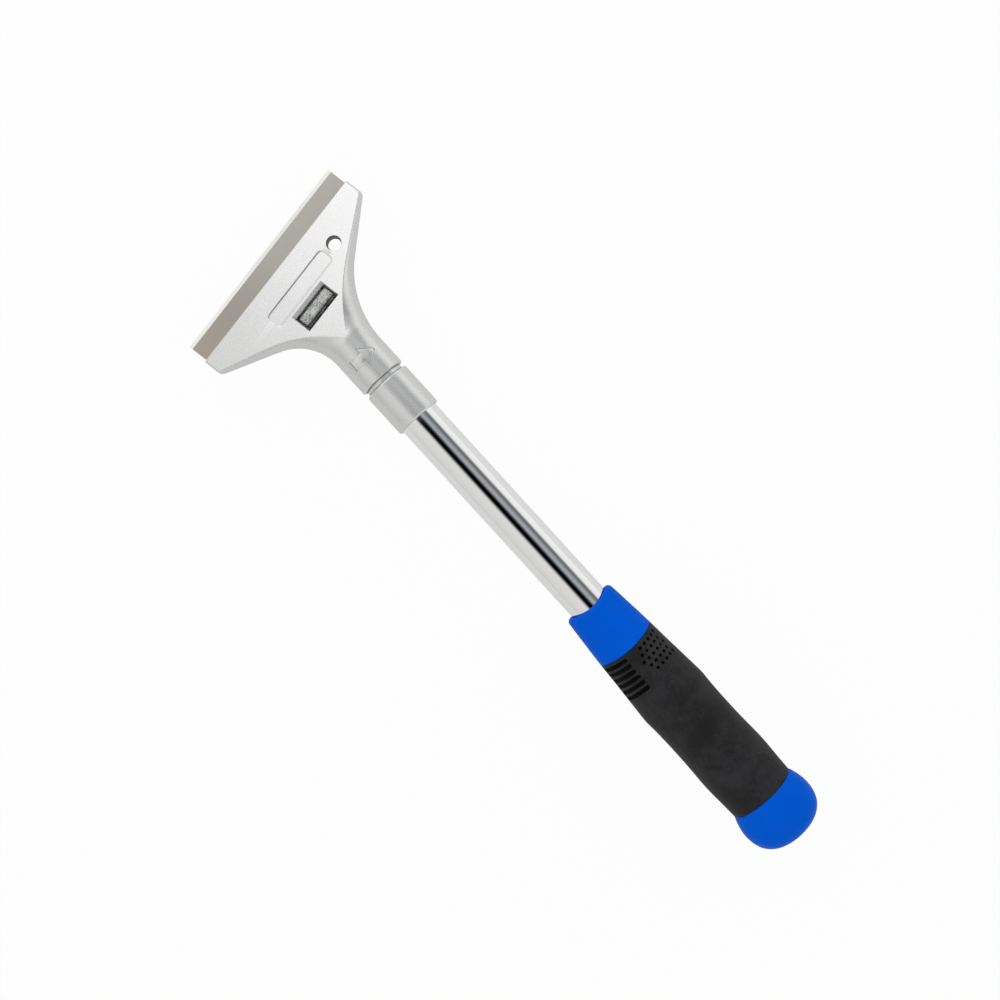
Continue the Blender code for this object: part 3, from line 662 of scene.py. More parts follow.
def head_slice(behind, inset=0.0):
    """A slice of the head parallel to the blade's edge, as points in the handle's axes."""
    centre = axis_across(behind)
    past_apex = behind >= APEX_BEHIND_LIP
    height = (NECK_RADIUS if past_apex else face_height(behind)) - inset
    ring = []
    for side in (1, -1):
        half_width = abs(across_at(OUTER[side], behind) - centre) - inset
        face_half_width = 0.0 if past_apex else abs(across_at(FACE[side], behind) - centre) - inset
        points = slice_side(half_width, face_half_width, height)
        if side < 0:
            points.reverse()
        ring += [plate_to_handle(centre + side * x, behind, z) for x, z in points]
    return ring


def neck_slice(y, radius):
    """A round slice square to the handle's axis, with its points in the same order."""
    points = slice_side(radius, 0.0, radius)
    return [(x, y, z) for x, z in points] + [(-x, y, z) for x, z in reversed(points)]


def head_body():
    """Slices from the lip to the neck's end: close together at the lip and at the corners of the plate."""
    rings = []
    for step in range(LIP_STEPS):
        angle = math.radians(90 * step / LIP_STEPS)
        rings.append(head_slice(LIP_ROUND * (1 - math.cos(angle)), LIP_ROUND * (1 - math.sin(angle))))
    for start, spacing, count in SLICE_RUNS:
        rings += [head_slice(start + spacing * step) for step in range(count)]
    end = arc(NECK_END_ROUND, NECK_RADIUS - NECK_END_ROUND, NECK_END_ROUND, 90, 180, 6)
    return rings + [neck_slice(y, radius) for y, radius in end]


head = new_mesh("cast_head", *skin(head_body()), SILVER)
print("head skin has", len(head.data.polygons), "faces")

# %% [markdown]
# ## What is cut out of the head
#
# The blade's slot opens in the lip, and a channel above it takes the clamp block's nose. The window is a
# pocket with steep walls and one sloping wall in front, and it goes on down to a floor below the screw. The
# hanging hole narrows to a waist half way, as the two halves of a die leave it. Beside the window a shallow
# field with round corners is sunk into the face, and a fine groove along its rim draws its edge.

# %% Sizes of what is cut out
GAP = 0.3
CLEAR = 2.0
BLADE_WIDTH = 100.0
BLADE_DEPTH = 18.0
BLADE_THICKNESS = 0.8
BLADE_EXPOSED = 9.65
HALF_SLOT = BLADE_THICKNESS / 2 + GAP
WEDGE_ANGLE = math.radians(8.0)
BLOCK_ACROSS = -1.4
BLOCK_FRONT = 21.9
NOSE_WIDTH = 15.6
NOSE_FRONT = 4.1
NOSE_FRONT_TOP = 1.6
CHANNEL_WIDTH = NOSE_WIDTH + 1.2
POCKET_FLOOR = -5.4
POCKET_FRONT = 20.9
POCKET_REAR = 29.4
POCKET_WIDTH = 18.8
LEDGE_HEIGHT = 4.4
LEDGE_WIDTH = 19.0
WINDOW_ACROSS = -1.5
WINDOW_WIDTH = 20.2
WINDOW_FRONT = 19.4
MOUTH_CHAMFER = 0.22
HOLE_ACROSS = 25.5
HOLE_BEHIND_LIP = 13.2
HOLE_MOUTH = 3.4
HOLE_WAIST = 2.95
BOSS_ROOM = 9.8
BOSS_ROOM_END = 7.0
SCREW_BORE = 4.3
SCREW_BORE_END = 38.4
FIELD_ACROSS = 0.55
FIELD_WIDTH = 37.8
FIELD_FRONT = 10.65
FIELD_REAR = 17.5
FIELD_CORNER = 1.7

# Height above the face and distance outside the rim: the field's sloping edge, then the groove round it
FIELD_LEVELS = ((-0.32, 0.0), (0.0, 0.7), (1.0, 2.9))
RIM_GROOVE_LEVELS = ((0.2, 0.2), (-0.42, 0.1), (-0.42, -0.3), (0.2, -0.3))
print(f"the slot is {2 * HALF_SLOT:.1f} mm high for a blade of {BLADE_THICKNESS:.1f} mm")


# %% Outlines on the plate
def level(height):
    """A height that is the same everywhere."""
    return lambda behind: height


def above_face(rise):
    """A height that follows the flat face."""
    return lambda behind: face_height(behind) + rise


def plate_ring(outline, height):
    """An outline of (across, behind) points at a height that is a function of the distance behind the lip."""
    return [plate_to_handle(across, behind, height(behind)) for across, behind in outline]


def plate_solid(name, outline, bottom, top):
    """A solid over an outline, between two heights."""
    return new_mesh(name, *skin([plate_ring(outline, bottom), plate_ring(outline, top)]))


def rectangle(across, width, front, rear, grow=0.0):
    half = width / 2 + grow
    front -= grow
    rear += grow
    return [(across - half, front), (across + half, front), (across + half, rear), (across - half, rear)]


def rounded_rectangle(across, width, front, rear, radius, steps=8):
    """Corner points of a rectangle with round corners, in order round it."""
    points = []
    corners = rectangle(across, width - 2 * radius, front + radius, rear - radius)
    for quarter, (x, y) in enumerate(corners):
        for step in range(steps + 1):
            angle = math.radians(180 + 90 * quarter + 90 * step / steps)
            points.append((x + radius * math.cos(angle), y + radius * math.sin(angle)))
    return points


print(f"the face is {face_height(POCKET_FRONT):.1f} mm above the middle plane at the window")


# %% Cut the slot, the window and the holes
def nose_top(behind):
    return NOSE_FRONT_TOP + (behind - NOSE_FRONT) * math.tan(WEDGE_ANGLE)


def channel_top(behind):
    return nose_top(behind) + GAP


def slot_cutter():
    outline = rectangle(0.0, BLADE_WIDTH + 2 * GAP, AHEAD_OF_LIP, BLADE_DEPTH - BLADE_EXPOSED + GAP)
    return plate_solid("slot_cutter", outline, level(-HALF_SLOT), level(HALF_SLOT))


def nose_channel_cutter():
    outline = rectangle(BLOCK_ACROSS, CHANNEL_WIDTH, NOSE_FRONT - GAP, POCKET_FRONT + 1.0)
    return plate_solid("nose_channel_cutter", outline, level(-HALF_SLOT), channel_top)


def window_cutter():
    """Steep walls below, a sloping front wall above the ledge, and a chamfered mouth."""
    rings = []
    for height, width in ((POCKET_FLOOR, POCKET_WIDTH), (LEDGE_HEIGHT, LEDGE_WIDTH)):
        rings.append(plate_ring(rectangle(WINDOW_ACROSS, width, POCKET_FRONT, POCKET_REAR), level(height)))
    for above, grow in ((-MOUTH_CHAMFER, 0.0), (0.0, MOUTH_CHAMFER), (CLEAR, CLEAR + MOUTH_CHAMFER)):
        outline = rectangle(WINDOW_ACROSS, WINDOW_WIDTH, WINDOW_FRONT, POCKET_REAR, grow)
        rings.append(plate_ring(outline, above_face(above)))
    return new_mesh("window_cutter", *skin(rings))


def hang_hole_cutter():
    """A waist in the middle plane, walls that open towards both faces, and a small chamfer at each mouth."""
    centre = Vector(plate_to_handle(HOLE_ACROSS, HOLE_BEHIND_LIP, 0.0))
    rim = face_height(HOLE_BEHIND_LIP)
    upper = [(HOLE_MOUTH - 0.12, rim - 1.2), (HOLE_MOUTH + 0.25, rim + 0.6), (HOLE_MOUTH + 0.5, rim + CLEAR)]
    lower = [(radius, -z) for radius, z in reversed(upper)]
    # The cutter's dark grey material passes to the hole's walls as painted shade
    return upright("hang_hole_cutter", centre, lower + [(HOLE_WAIST, 0.0)] + upper, PAINTED_HOLE_SHADE, 64)


def neck_bore_cutter():
    """Room for the collar's boss with a chamfered mouth, then the screw's bore through to the window."""
    profile = [(-1.0, BOSS_ROOM + 1.35), (0.35, BOSS_ROOM), (BOSS_ROOM_END, BOSS_ROOM),
               (BOSS_ROOM_END + 1.5, SCREW_BORE), (SCREW_BORE_END, SCREW_BORE)]
    return turned("neck_bore_cutter", profile, segments=96)


def field_cutter(name, levels, closed=False):
    rings = []
    for above, grow in levels:
        outline = rounded_rectangle(FIELD_ACROSS, FIELD_WIDTH + 2 * grow, FIELD_FRONT - grow,
                                    FIELD_REAR + grow, FIELD_CORNER + grow)
        rings.append(plate_ring(outline, above_face(above)))
    return new_mesh(name, *skin(rings, closed))


combine(head, [
    slot_cutter(),
    nose_channel_cutter(),
    window_cutter(),
    hang_hole_cutter(),
    neck_bore_cutter(),
    field_cutter("field_cutter", FIELD_LEVELS),
    field_cutter("rim_groove_cutter", RIM_GROOVE_LEVELS, closed=True),
])
print("head has", len(head.data.polygons), "faces after the cuts")

# %% [markdown]
# ## The arrow on the neck
#
# A raised arrow on top of the neck shows which way the handle turns to clamp the blade. It follows the
# neck's curve: the outline is filled with slices, and the top of every slice lies a little above the neck.
# Its edges slope gently, so that they catch the light as thin lines, and a fine groove runs round its foot.

# %% Raise the arrow
ARROW_HEIGHT = 0.26
ARROW_WALL = 0.5
ARROW_GROOVE_WIDTH = 0.5
ARROW_GROOVE_DEPTH = 0.4
ARROW_TAIL = -5.95
ARROW_SHOULDER = 0.1
ARROW_TIP = 5.35
ARROW_OVERLAP = 0.4
ARROW_ROOT = -0.6
ARROW_MIDDLE = 11.35
SHAFT_HALF = 1.65
HEAD_HALF = 3.8


def shaft_half_width(x):
    return SHAFT_HALF


def head_half_width(x):
    return HEAD_HALF * (ARROW_TIP - x) / (ARROW_TIP - ARROW_SHOULDER)


def arrow_part(name, half_width, first, last, layers, steps=14):
    """Slices across the arrow. Each layer gives how far out of the outline and above the neck it lies."""
    rings = []
    for step in range(steps + 1):
        x = first + (last - first) * step / steps
        left, right = [], []
        for out, above in layers:
            half = max(half_width(x) + out, 0.05)
            z = math.sqrt((NECK_RADIUS + above) ** 2 - x * x)
            left.append((x, ARROW_MIDDLE - half, z))
            right.append((x, ARROW_MIDDLE + half, z))
        rings.append(left + right[::-1])
    return new_mesh(name, *skin(rings))


def arrow_parts(layers, longer=0.0):
    """The arrow's shaft and its head, lengthened at the tail, the shoulders and the tip."""
    shaft_end = ARROW_SHOULDER + ARROW_OVERLAP
    return [arrow_part("arrow_shaft", shaft_half_width, ARROW_TAIL - longer, shaft_end, layers),
            arrow_part("arrow_head", head_half_width, ARROW_SHOULDER - longer, ARROW_TIP + longer, layers)]


groove_out = ARROW_WALL + ARROW_GROOVE_WIDTH
groove_layers = [(groove_out, -ARROW_GROOVE_DEPTH), (groove_out, -ARROW_ROOT)]
arrow_layers = [(ARROW_WALL, ARROW_ROOT), (ARROW_WALL, 0.0), (0.0, ARROW_HEIGHT)]
combine(head, arrow_parts(groove_layers, ARROW_GROOVE_WIDTH))
combine(head, arrow_parts(arrow_layers), "UNION")
dress(head, "head", "head_casting")

# %% [markdown]
# ## The blade
#
# The blade is a strip of rolled steel, honed to an edge along both long sides. Its section is drawn once
# and stretched along the edge. The honed strips are so bright next to the rolled faces that they get their
# own finish, picked by the tilt of each face.

# %% Make the blade
BEVEL_LENGTH = 1.7
HALF_EDGE = 0.03
BLADE_STEPS = 40
LEAST_TILT, MOST_TILT = 0.5, 0.995


def make_blade():
    half = BLADE_THICKNESS / 2
    front = -BLADE_EXPOSED
    rear = BLADE_DEPTH - BLADE_EXPOSED
    upper = [(front, HALF_EDGE), (front + BEVEL_LENGTH, half), (rear - BEVEL_LENGTH, half), (rear, HALF_EDGE)]
    section = upper + [(behind, -height) for behind, height in reversed(upper)]
    rings = []
    for step in range(BLADE_STEPS + 1):
        across = BLADE_WIDTH * (step / BLADE_STEPS - 0.5)
        rings.append([plate_to_handle(across, behind, height) for behind, height in section])
    blade = new_mesh("blade", *skin(rings), ROLLED, sharp=5.0)
    blade.data.materials.append(HONED)
    for face in blade.data.polygons:
        if LEAST_TILT < abs(face.normal.z) < MOST_TILT:
            face.material_index = 1
    return blade


dress(make_blade(), "blade", "scraper_blade")

# %% [markdown]
# ## The clamp block
#
# In the window sits a block that nobody cleaned up after casting: softly rounded edges, a coarse skin and a
# low step at its back. The section is drawn with eased corners and split finely, and every point is then
# pushed in or out by a little noise. After that the wedge nose is joined on in front, a crevice is cut
# where the nose leaves the block, and a slot is cut from below for the screw's tip and the groove behind
# it.

# %% Sizes of the clamp block
SCREW_SHOULDER = 38.4
SCREW_GROOVE_END = 41.6
SCREW_TIP = 42.9
BLOCK_HALF_WIDTH = 9.15
BLOCK_REAR = 27.0
BLOCK_BELOW_FACE = 1.7
BLOCK_STEPS = 44
FOOT_REAR = 27.9
FOOT_TOP = 2.6
CORNER_EASE = 0.6
END_EASE = 0.4
SKIN_SPACING = 0.4
BLOCK_SHARP = 50.0
CREVICE_FLOOR = 1.3
CREVICE_TOP = 5.5
GROOVE_SLOT_RADIUS = 2.3
TIP_SLOT_RADIUS = 3.5
SLOT_ARC_STEPS = 24
print("the block is", 2 * BLOCK_HALF_WIDTH, "mm wide in a pocket of", POCKET_WIDTH, "mm")


# %% Make the clamp block
def eased(corners, size):
    """A closed outline with each corner cut back twice, so that it reads as rounded."""
    outline = corners
    for cut_back in (size, size * 0.35):
        eased_outline = []
        for index, corner in enumerate(outline):
            corner = Vector(corner)
            for other in (outline[index - 1], outline[(index + 1) % len(outline)]):
                toward = Vector(other) - corner
                reach = min(cut_back, toward.length * 0.3)
                eased_outline.append(corner + toward.normalized() * reach)
        outline = eased_outline
    return outline


def split_outline(outline, spacing):
    """Extra points along each side of a closed outline, no further apart than the spacing."""
    points = []
    for index, point in enumerate(outline):
        following = outline[(index + 1) % len(outline)]
        pieces = max(1, math.ceil((following - point).length / spacing))
        points += [point.lerp(following, step / pieces) for step in range(pieces)]
    return points


def roughness_at(point):
    """How far the raw skin stands proud at a point, in millimetres."""
    place = Vector(point)
    return 0.05 * noise.noise(place * 1.3) + 0.035 * noise.noise(place * 3.7)


def block_corners():
    """The section of the block behind its nose, as (behind, height) points."""
    bottom = POCKET_FLOOR + GAP
    front_top = face_height(BLOCK_FRONT) - BLOCK_BELOW_FACE
    rear_top = face_height(BLOCK_REAR) - BLOCK_BELOW_FACE
    return [(BLOCK_FRONT, bottom), (FOOT_REAR, bottom), (FOOT_REAR, FOOT_TOP), (BLOCK_REAR, FOOT_TOP),
            (BLOCK_REAR, rear_top), (BLOCK_FRONT, front_top)]


def block_rings():
    """The section repeated across the block, drawn in at both ends and roughened in between."""
    outline = split_outline(eased(block_corners(), CORNER_EASE), SKIN_SPACING)
    middle = sum(outline, Vector((0.0, 0.0))) / len(outline)
    rings = []
    for step in range(BLOCK_STEPS + 1):
        share = step / BLOCK_STEPS
        across = BLOCK_ACROSS + BLOCK_HALF_WIDTH * (2 * share - 1)
        from_end = min(share, 1 - share) * 2 * BLOCK_HALF_WIDTH
        tuck = END_EASE * (1 - min(from_end / END_EASE, 1.0)) ** 2
        ring = []
        for point in outline:
            inward = (middle - point).normalized()
            moved = point + inward * tuck
            if 0 < step < BLOCK_STEPS:
                moved -= inward * roughness_at(plate_to_handle(across, moved.x, moved.y))
            ring.append(plate_to_handle(across, moved.x, moved.y))
        rings.append(ring)
    return rings


def screw_slot(name, rear, front, radius):
    """A slot with a round top that straddles the handle's axis and runs out below."""
    outline = [(radius, POCKET_FLOOR - 1.0), (-radius, POCKET_FLOOR - 1.0)]
    for step in range(SLOT_ARC_STEPS + 1):
        angle = math.pi * (1 - step / SLOT_ARC_STEPS)
        outline.append((radius * math.cos(angle), radius * math.sin(angle)))
    return new_mesh(name, *skin([[(x, y, z) for x, z in outline] for y in (rear, front)]))


def make_block():
    block = new_mesh("raw_block", *skin(block_rings()), RAW, sharp=BLOCK_SHARP)
    nose_outline = rectangle(BLOCK_ACROSS, NOSE_WIDTH, NOSE_FRONT, BLOCK_FRONT + 1.0)
    nose = plate_solid("nose", nose_outline, level(HALF_SLOT), nose_top)
    combine(block, [nose], "UNION", sharp=BLOCK_SHARP)
    crevice_outline = rectangle(BLOCK_ACROSS, NOSE_WIDTH + 1.0, POCKET_FRONT - 0.5, BLOCK_FRONT + 0.05)
    combine(block, [
        plate_solid("crevice", crevice_outline, level(CREVICE_FLOOR), level(CREVICE_TOP)),
        screw_slot("groove_slot", SCREW_SHOULDER - CLEAR, SCREW_GROOVE_END, GROOVE_SLOT_RADIUS),
        screw_slot("tip_slot", SCREW_GROOVE_END - GAP, SCREW_TIP + GAP, TIP_SLOT_RADIUS),
    ], sharp=BLOCK_SHARP)
    return block


dress(make_block(), "clamp", "clamp_block")

# %% [markdown]
# ## The screw inside the neck
#
# The screw is out of sight, but it does the work: its thread runs in the neck, its hexagonal shank sits in
# the collar and its grooved tip drives the block. The thread is a grid round the axis whose radius rises
# and falls once per pitch, shifted by the turn angle, which makes one continuous helix.

# %% Make the screw
THREAD_PITCH = 1.25
THREAD_OUTER = 3.95
THREAD_DEPTH = 0.65
THREAD_FLANK = 2.4
THREAD_STEPS = 270
THREAD_START = 0.0
THREAD_END = SCREW_SHOULDER - 0.3
SHOULDER_RADIUS = 3.1
GROOVE_RADIUS = 2.0
TIP_RADIUS = 3.2
TIP_CHAMFER = 0.5
SCREW_HEX_START = -1.0
SCREW_REAR = -11.0
HEX_RADIUS = 5.2
SCREW_SEGMENTS = 48


def hexagon_ring(y, corner_radius, segments):
    """A hexagon whose sides are split so that it has as many points as a circle."""
    ring = []
    per_side = segments // 6
    for side in range(6):
        first = math.tau * side / 6
        second = math.tau * (side + 1) / 6
        for step in range(per_side):
            share = step / per_side
            x = corner_radius * ((1 - share) * math.sin(first) + share * math.sin(second))
            z = corner_radius * ((1 - share) * math.cos(first) + share * math.cos(second))
            ring.append((x, y, z))
    return ring


def thread_ring(y, fade):
    """A ring of the thread: the crest travels one pitch per turn. Fade is 0 where the thread has run out."""
    ring = []
    for index in range(SCREW_SEGMENTS):
        turn = index / SCREW_SEGMENTS
        phase = (y / THREAD_PITCH + turn) % 1.0
        radius = THREAD_OUTER - THREAD_DEPTH * fade * min(1.0, THREAD_FLANK * abs(phase - 0.5))
        ring.append((radius * math.sin(math.tau * turn), y, radius * math.cos(math.tau * turn)))
    return ring


def make_screw():
    tip = [(SCREW_TIP, TIP_RADIUS - 0.6), (SCREW_TIP - TIP_CHAMFER, TIP_RADIUS),
           (SCREW_GROOVE_END, TIP_RADIUS), (SCREW_GROOVE_END, GROOVE_RADIUS),
           (SCREW_SHOULDER, GROOVE_RADIUS), (SCREW_SHOULDER, SHOULDER_RADIUS)]
    rings = [circle(y, radius, segments=SCREW_SEGMENTS) for y, radius in tip]
    for step in range(THREAD_STEPS + 1):
        y = THREAD_END + (THREAD_START - THREAD_END) * step / THREAD_STEPS
        rings.append(thread_ring(y, min(1.0, (y - THREAD_START) / THREAD_PITCH)))
    rings += [hexagon_ring(y, HEX_RADIUS, SCREW_SEGMENTS) for y in (SCREW_HEX_START, SCREW_REAR)]
    return new_mesh("screw", *skin(rings), DARK)


dress(make_screw(), "handle", "clamp_screw")

# %% [markdown]
# ## The collar and its pin
#
# The collar is cast in the same silver as the head. Its boss turns in the neck, and the gap in between
# shows as a dark line with the boss behind it. The barrel's two ends are rounded, and a pin from below ties
# the tube to the collar. All of it is one profile, turned round the handle's axis.

# %% Make the collar
COLLAR_RADIUS = 11.1
COLLAR_FRONT = -2.2
COLLAR_REAR = -23.8
COLLAR_ROUND = 1.0
BOSS_RADIUS = 9.5
BOSS_FRONT = 5.0
BOSS_CHAMFER = 0.6
BOSS_GROOVE_FRONT, BOSS_GROOVE_REAR = 0.5, -0.6
BOSS_GROOVE_DEPTH = 0.9
BOSS_GROOVE_SLOPE = 0.1
BOSS_STEP = 0.5
TUBE_RADIUS = 9.55
TUBE_ROOM = TUBE_RADIUS + GAP
SPIGOT_RADIUS = 8.0
SPIGOT_REAR = -22.0
SPIGOT_CHAMFER = 0.6
PIN_CENTRE = Vector((0.0, -18.0, 0.0))
PIN_RADIUS = 1.5
PIN_CHAMFER = 0.2
PIN_BOTTOM, PIN_TOP = -10.9, -8.35
PIN_ROOM_HEIGHTS = (-14.0, -8.2)


def pin_room():
    """Room for the pin in the collar's underside and in the tube."""
    return upright("pin_room", PIN_CENTRE, [(PIN_RADIUS + GAP, z) for z in PIN_ROOM_HEIGHTS])


def make_pin():
    levels = [(PIN_RADIUS - PIN_CHAMFER, PIN_BOTTOM), (PIN_RADIUS, PIN_BOTTOM + PIN_CHAMFER),
              (PIN_RADIUS, PIN_TOP)]
    return upright("pin", PIN_CENTRE, levels, DARK)


def collar_outside():
    """From the boss inside the neck back over the barrel, with the grooves that shade the gap."""
    grooved = BOSS_RADIUS - BOSS_GROOVE_DEPTH
    stepped = BOSS_RADIUS - BOSS_STEP
    boss = [(BOSS_FRONT, BOSS_RADIUS - BOSS_CHAMFER), (BOSS_FRONT - BOSS_CHAMFER, BOSS_RADIUS),
            (BOSS_GROOVE_FRONT, BOSS_RADIUS), (BOSS_GROOVE_FRONT - BOSS_GROOVE_SLOPE, grooved),
            (BOSS_GROOVE_REAR + BOSS_GROOVE_SLOPE, grooved), (BOSS_GROOVE_REAR, BOSS_RADIUS),
            (COLLAR_FRONT + 0.35, BOSS_RADIUS), (COLLAR_FRONT + 0.25, stepped), (COLLAR_FRONT, stepped)]
    round_centre = COLLAR_RADIUS - COLLAR_ROUND
    front_edge = arc(COLLAR_FRONT - COLLAR_ROUND, round_centre, COLLAR_ROUND, 0, 90)
    rear_edge = arc(COLLAR_REAR + COLLAR_ROUND, round_centre, COLLAR_ROUND, 90, 170)
    return boss + front_edge + rear_edge


def make_collar():
    inside = [(COLLAR_REAR, TUBE_ROOM + 0.15), (COLLAR_REAR + 0.2, TUBE_ROOM), (TUBE_FRONT + GAP, TUBE_ROOM),
              (TUBE_FRONT + GAP, SPIGOT_RADIUS), (SPIGOT_REAR + SPIGOT_CHAMFER, SPIGOT_RADIUS),
              (SPIGOT_REAR, SPIGOT_RADIUS - SPIGOT_CHAMFER)]
    collar = turned("collar", collar_outside() + inside, SILVER)
    hex_radius = HEX_RADIUS + GAP / math.cos(math.pi / 6)
    hexagon = [hexagon_ring(y, hex_radius, 6) for y in (SCREW_HEX_START + 0.5, SCREW_REAR - GAP)]
    screw_room = [(BOSS_FRONT + 1.0, SCREW_BORE), (SCREW_HEX_START, SCREW_BORE)]
    combine(collar, [
        turned("screw_room", screw_room, segments=SCREW_SEGMENTS),
        new_mesh("hexagon", *skin(hexagon)),
        pin_room(),
    ])
    return collar


dress(make_collar(), "handle", "handle_collar")
dress(make_pin(), "handle", "collar_pin")

# %% [markdown]
# ## The chromed tube
#
# A plain tube, so the whole look is in its roundness and in the plating: with 128 sides and smooth shading
# the reflections run down it as straight bands. Its wall is real, with small chamfers at both ends.

# %% Make the tube
TUBE_WALL = 1.2
TUBE_REAR = -235.0
TUBE_CHAMFER = 0.2


def make_tube():
    bore = TUBE_RADIUS - TUBE_WALL
    edge = TUBE_RADIUS - TUBE_CHAMFER
    profile = [(TUBE_FRONT, edge), (TUBE_FRONT - TUBE_CHAMFER, TUBE_RADIUS),
               (TUBE_REAR + TUBE_CHAMFER, TUBE_RADIUS), (TUBE_REAR, edge), (TUBE_REAR, bore),
               (TUBE_FRONT, bore)]
    tube = turned("tube", profile, CHROME, hollow=True)
    combine(tube, [pin_room()])
    return tube


dress(make_tube(), "handle", "handle_tube")

# %% [markdown]
# ## The blue core and its front band
#
# Only the band of the blue core shows. Its front rim is rolled in towards the tube and sways: it dips back
# above and below the axis, as its outline on the tube shows. Behind the band the core goes on as a sleeve
# with four keys under the soft overmould. Diameters at a few stations are joined by a smooth curve.

# %% Make the core
GRIP_FRONT = -134.8
BAND_REAR = -159.7
CAP_FRONT = -249.4
SEAM_GAP = 0.1
SEAM_RADIUS = 14.6
CORE_RADIUS = 12.6
RIM_RADIUS = 12.65
RIM_ROUND = 2.2
RIM_SWAY = 2.0
SEAM_SWAY = 1.5
BAND_STATIONS = ((-137.0, 12.65), (-141.0, 13.05), (-147.0, 13.55), (-153.0, 14.1), (BAND_REAR, SEAM_RADIUS))
BAND_STEPS = 5
KEY_COUNT = 4
KEY_WIDTH = 3.0
KEY_HEIGHT = 0.9
KEY_ROOT = 11.6
KEY_INSET = 8.0


def keys(name, grow=0.0):
    """The lengthwise keys on the core's sleeve or, grown by the gap, the rooms for them."""
    made = []
    width = KEY_WIDTH + 2 * grow
    top = CORE_RADIUS + (KEY_HEIGHT + grow)
    for index in range(KEY_COUNT):
        angle = math.tau * (index + 0.5) / KEY_COUNT
        out = Vector((math.sin(angle), 0.0, math.cos(angle)))
        along = Vector((math.cos(angle), 0.0, -math.sin(angle)))
        rings = []
        for y in (BAND_REAR - KEY_INSET + grow, CAP_FRONT + KEY_INSET - grow):
            corners = ((-0.5, KEY_ROOT), (0.5, KEY_ROOT), (0.5, top), (-0.5, top))
            rings.append([out * outward + along * sideways * width + Vector((0.0, y, 0.0))
                          for sideways, outward in corners])
        made.append(new_mesh(f"{name}_{index}", *skin(rings)))
    return made


def make_core():
    bore = TUBE_RADIUS + GAP
    rim = arc(GRIP_FRONT - RIM_ROUND, RIM_RADIUS - RIM_ROUND, RIM_ROUND, 0, 90, 12)
    profile = [(GRIP_FRONT - 1.6, bore, RIM_SWAY), (GRIP_FRONT - 0.4, bore + 0.1, RIM_SWAY)]
    profile += [(y, radius, RIM_SWAY) for y, radius in rim[:-1]]
    for y, radius in smooth_run(BAND_STATIONS, BAND_STEPS)[:-1]:
        share = (y - GRIP_FRONT) / (BAND_REAR - GRIP_FRONT)
        profile.append((y, radius, RIM_SWAY + share * (SEAM_SWAY - RIM_SWAY)))
    profile += [(BAND_REAR + 0.25, SEAM_RADIUS, SEAM_SWAY), (BAND_REAR, SEAM_RADIUS - 0.2, SEAM_SWAY),
                (BAND_REAR, CORE_RADIUS, SEAM_SWAY), (CAP_FRONT, CORE_RADIUS), (CAP_FRONT, bore)]
    core = turned("blue_band", profile, BLUE, hollow=True)
    combine(core, keys("key"), "UNION")
    return core


dress(make_core(), "handle", "grip_core")

# %% [markdown]
# ## The black overmould
#
# The soft overmould swells to a palm rest, narrows and swells again. Six finger grooves cross its left side
# and a field of small pits its right side, above and below. Both are soft-edged hollows, so they are made
# as a height field: a fine grid round the axis whose radius is lowered by the depth of the hollow at each
# point. The seams at both ends are a hair wide, so that nothing shows through them.

# %% Sizes of the overmould
OVERMOULD_STATIONS = (
    (BAND_REAR, SEAM_RADIUS), (-165.0, 14.925), (-171.0, 15.3), (-177.0, 15.75), (-183.0, 16.175),
    (-189.0, 16.6), (-192.0, 16.75), (-195.0, 16.575), (-199.0, 16.375), (-207.0, 16.225), (-216.0, 16.275),
    (-222.0, 16.45), (-228.0, 16.675), (-231.5, 16.725), (-236.0, 16.6), (-242.0, 16.3), (CAP_FRONT, 16.05),
)
GROOVE_COUNT = 6
GROOVE_FIRST, GROOVE_PITCH = -162.3, 3.2
GROOVE_HALF, GROOVE_DEPTH = 1.0, 1.1
GROOVE_START, GROOVE_END = 21.0, 80.0
GROOVE_RUN_OUT = 4.0
DIMPLE_FIRST, DIMPLE_PITCH = -162.5, 3.05
DIMPLE_COUNTS = (5, 5, 6, 5, 5)
DIMPLE_FARTHEST = (60.0, 54.5)
DIMPLE_ANGLE = 11.6
DIMPLE_RADIUS, DIMPLE_DEPTH = 0.85, 1.2
COLUMNS = 360
FINE_SPACING, FINE_STEPS = 0.25, 85
COARSE_SPACING, COARSE_STEPS = 1.8, 37
RIM_EASE = 0.25
SWAY_FADE = 20.0
PAINTED_SHADE_FROM = 0.3
OVERMOULD_SHARP = 60.0
OVERMOULD_RUN = smooth_run(OVERMOULD_STATIONS, 8)
print("the overmould has", GROOVE_COUNT, "finger grooves and", 2 * sum(DIMPLE_COUNTS), "pits")


# %% Depth of the grooves and the pits
def overmould_radius(y):
    """The radius between the stations, and that of the first or the last one beyond them."""
    for (y0, r0), (y1, r1) in zip(OVERMOULD_RUN, OVERMOULD_RUN[1:]):
        if y1 <= y <= y0 and y0 > y1:
            return r0 + (r1 - r0) * (y0 - y) / (y0 - y1)
    return OVERMOULD_RUN[-1][1] if y < CAP_FRONT else OVERMOULD_RUN[0][1]


def hollow(distance, half, depth):
    """A soft-edged trough: full depth in the middle, none beyond its half width."""
    share = min(abs(distance) / half, 1.0)
    return depth * (1 - share ** 4)


def groove_depth(y, angle):
    """Depth of the finger grooves at an angle from the top, in degrees, measured towards the left."""
    if not GROOVE_START - GROOVE_RUN_OUT < angle < GROOVE_END + GROOVE_RUN_OUT:
        return 0.0
    index = round((GROOVE_FIRST - y) / GROOVE_PITCH)
    if not 0 <= index < GROOVE_COUNT:
        return 0.0
    past_end = max(GROOVE_START - angle, angle - GROOVE_END, 0.0) / GROOVE_RUN_OUT
    along = GROOVE_FIRST - index * GROOVE_PITCH - y
    return hollow(math.hypot(along, past_end * GROOVE_HALF), GROOVE_HALF, GROOVE_DEPTH)


